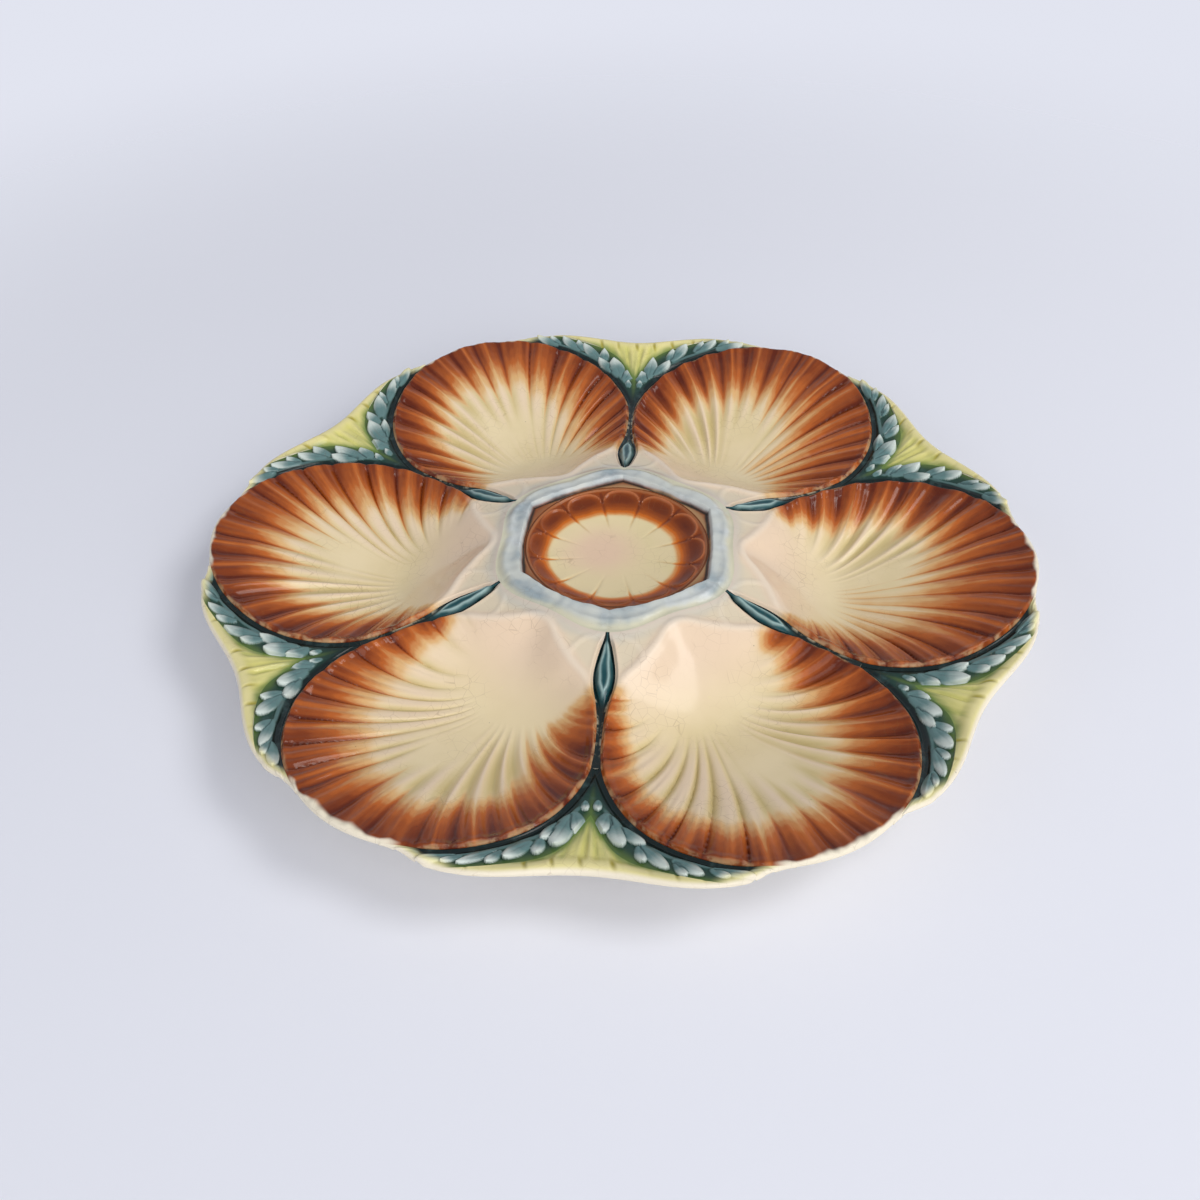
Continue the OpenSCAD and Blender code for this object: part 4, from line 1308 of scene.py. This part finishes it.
class PLATE_OT_centre(Operator):
    """Centre well with its petals, and the collar round it"""
    bl_idname = "plate.centre"
    bl_label = "Centre"

    def execute(self, context):
        build_well(centre_glaze())
        build_collar(collar_glaze())
        return {"FINISHED"}


class PLATE_OT_foot(Operator):
    """Foot ring under the plate"""
    bl_idname = "plate.foot"
    bl_label = "Foot ring"

    def execute(self, context):
        build_foot(foot_glaze())
        return {"FINISHED"}


FLOOR_HOLE_R = FOOT_R + FOOT_W / 2 - 1.9
FADE_SHARES = (0.24, 0.62)
LAMP_AIM = np.array([0, 0, 0.01])
SKY_COLOUR = (0.93, 0.94, 1.0, 1)
BACKGROUND = (0.76, 0.78, 0.87, 1)
SENSOR = 36
PICTURE = 1200
COLLAR_PIXEL = (616.55, 541.41)


def place_object(name, data, right, up, back, place):
    """Puts a lamp or a camera at a place, with its three axes given."""
    m = np.eye(4)
    m[:3] = np.stack([right, up, back, place], 1)
    thing = bpy.data.objects.new(name, data)
    thing.matrix_world = Matrix(m.tolist())
    bpy.context.scene.collection.objects.link(thing)
    return thing


def add_light(name, place, size, power, colour):
    """Large rectangular lamp aimed at the middle of the plate."""
    data = bpy.data.lights.new(name, "AREA")
    data.shape = "RECTANGLE"
    data.size, data.size_y = size
    data.energy = power
    data.color = colour
    back = np.array(place) - LAMP_AIM
    back = back / np.linalg.norm(back)
    right = np.cross([0, 0, 1.0], back)
    right /= np.linalg.norm(right)
    place_object(name, data, right, np.cross(back, right), back, place)


def floor_material():
    """Pale floor that keeps the plate's shadow, fades into the background further out, and is clear
    inside the foot ring and when seen from below."""
    s = settings()
    mat = node_material("pale_floor")
    tree = mat.node_tree
    skin = add_node(tree, "ShaderNodeBsdfPrincipled", {
        "Base Color": (*s.floor_colour, 1), "Roughness": 0.85, "Specular IOR Level": 0.1})
    place = add_node(tree, "ShaderNodeTexCoord").outputs["Object"]
    away = add_node(tree, "ShaderNodeVectorMath", {0: place}, operation="LENGTH").outputs["Value"]
    hole = add_node(tree, "ShaderNodeMath", {0: away, 1: FLOOR_HOLE_R * MM}, operation="LESS_THAN")
    fade = add_node(tree, "ShaderNodeMapRange", {
        "Value": away, "From Min": s.floor_size * FADE_SHARES[0], "From Max": s.floor_size * FADE_SHARES[1]},
        interpolation_type="SMOOTHSTEP")
    below = add_node(tree, "ShaderNodeNewGeometry").outputs["Backfacing"]
    clear = fade.outputs[0]
    for also in (below, hole.outputs[0]):
        clear = add_node(tree, "ShaderNodeMath", {0: clear, 1: also}, operation="MAXIMUM").outputs[0]
    nothing = add_node(tree, "ShaderNodeBsdfTransparent")
    mix = add_node(tree, "ShaderNodeMixShader", {0: clear, 1: skin.outputs[0], 2: nothing.outputs[0]})
    add_node(tree, "ShaderNodeOutputMaterial", {0: mix.outputs[0]})
    return mat


def add_floor():
    half = settings().floor_size
    mesh = bpy.data.meshes.new("floor")
    mesh.from_pydata([(-half, -half, 0), (half, -half, 0), (half, half, 0), (-half, half, 0)], [], [(0, 1, 2, 3)])
    mesh.materials.append(floor_material())
    floor = bpy.data.objects.new("floor", mesh)
    bpy.context.scene.collection.objects.link(floor)


def studio_world():
    """Even light from all round, while rays from the camera and off the glaze see a pale background."""
    world = bpy.data.worlds.new("studio")
    world.use_nodes = True
    tree = world.node_tree
    tree.nodes.clear()
    rays = add_node(tree, "ShaderNodeLightPath").outputs
    sees = rays["Is Camera Ray"]
    for ray in ("Is Glossy Ray", "Is Transmission Ray"):
        inputs = {0: sees, 1: rays[ray]}
        sees = add_node(tree, "ShaderNodeMath", inputs, operation="ADD", use_clamp=True).outputs[0]
    even = add_node(tree, "ShaderNodeBackground", {0: SKY_COLOUR, 1: settings().sky})
    seen = add_node(tree, "ShaderNodeBackground", {0: BACKGROUND, 1: 1.0})
    mix = add_node(tree, "ShaderNodeMixShader", {0: sees, 1: even.outputs[0], 2: seen.outputs[0]})
    add_node(tree, "ShaderNodeOutputWorld", {0: mix.outputs[0]})
    return world


def z_turn(angle):
    c, s = math.cos(angle), math.sin(angle)
    return np.array([[c, -s, 0], [s, c, 0], [0, 0, 1]])


def photo_camera():
    """Camera at the photograph's angle; the collar's middle lies at its place in the picture."""
    s = settings()
    e = s.camera_rise
    axes = np.array([[1, 0, 0], [0, math.sin(e), math.cos(e)], [0, -math.cos(e), math.sin(e)]])
    look = z_turn(s.camera_roll) @ axes @ z_turn(s.plate_turn)
    focal = s.lens / SENSOR * PICTURE
    aside = [(COLLAR_PIXEL[k] - PICTURE / 2) / focal for k in (0, 1)]
    place = np.array([0, 0, COLLAR_H * MM]) - look.T @ (np.array([aside[0], -aside[1], -1.0]) * s.camera_reach)
    data = bpy.data.cameras.new("photo_view")
    data.sensor_width = SENSOR
    data.sensor_fit = "HORIZONTAL"
    data.lens = s.lens
    data.clip_start = 0.01
    return place_object("photo_view", data, *look, place)


class PLATE_OT_stage(Operator):
    """Pale floor, soft studio light and the camera at the photograph's angle"""
    bl_idname = "plate.stage"
    bl_label = "Stage"

    def execute(self, context):
        s = settings()
        context.scene.view_settings.view_transform = "Standard"
        add_floor()
        context.scene.world = studio_world()
        add_light("window", (1.16, -0.12, 1.44), (0.70, 0.70), s.key_power, (1.0, 0.985, 0.96))
        add_light("front", (0.95, -1.80, 0.95), (2.8, 2.0), s.front_power, (1.0, 0.99, 0.98))
        add_light("fill", (-1.5, -0.9, 0.9), (1.5, 1.2), s.fill_power, (0.93, 0.94, 1.0))
        context.scene.camera = photo_camera()
        return {"FINISHED"}


class PLATE_PT_panel(Panel):
    """Lists the plate's settings and the buttons that build it"""
    bl_label = "Oyster plate"
    bl_idname = "PLATE_PT_panel"
    bl_space_type = "VIEW_3D"
    bl_region_type = "UI"
    bl_category = "Oyster plate"

    def draw(self, context):
        for key in PlateSettings.__annotations__:
            self.layout.prop(context.scene.oyster_plate, key)
        for op in OPERATORS:
            self.layout.operator(op.bl_idname)


OPERATORS = (PLATE_OT_shells, PLATE_OT_sprays, PLATE_OT_pods, PLATE_OT_panels,
             PLATE_OT_centre, PLATE_OT_foot, PLATE_OT_stage)
CLASSES = (PlateSettings, *OPERATORS, PLATE_PT_panel)


def register():
    for c in CLASSES:
        bpy.utils.register_class(c)
    bpy.types.Scene.oyster_plate = PointerProperty(type=PlateSettings)


def unregister():
    del bpy.types.Scene.oyster_plate
    for c in reversed(CLASSES):
        bpy.utils.unregister_class(c)


def main():
    register()
    bpy.ops.plate.shells()
    bpy.ops.plate.sprays()
    bpy.ops.plate.pods()
    bpy.ops.plate.panels()
    bpy.ops.plate.centre()
    bpy.ops.plate.foot()
    bpy.ops.plate.stage()


if __name__ == "__main__":
    main()
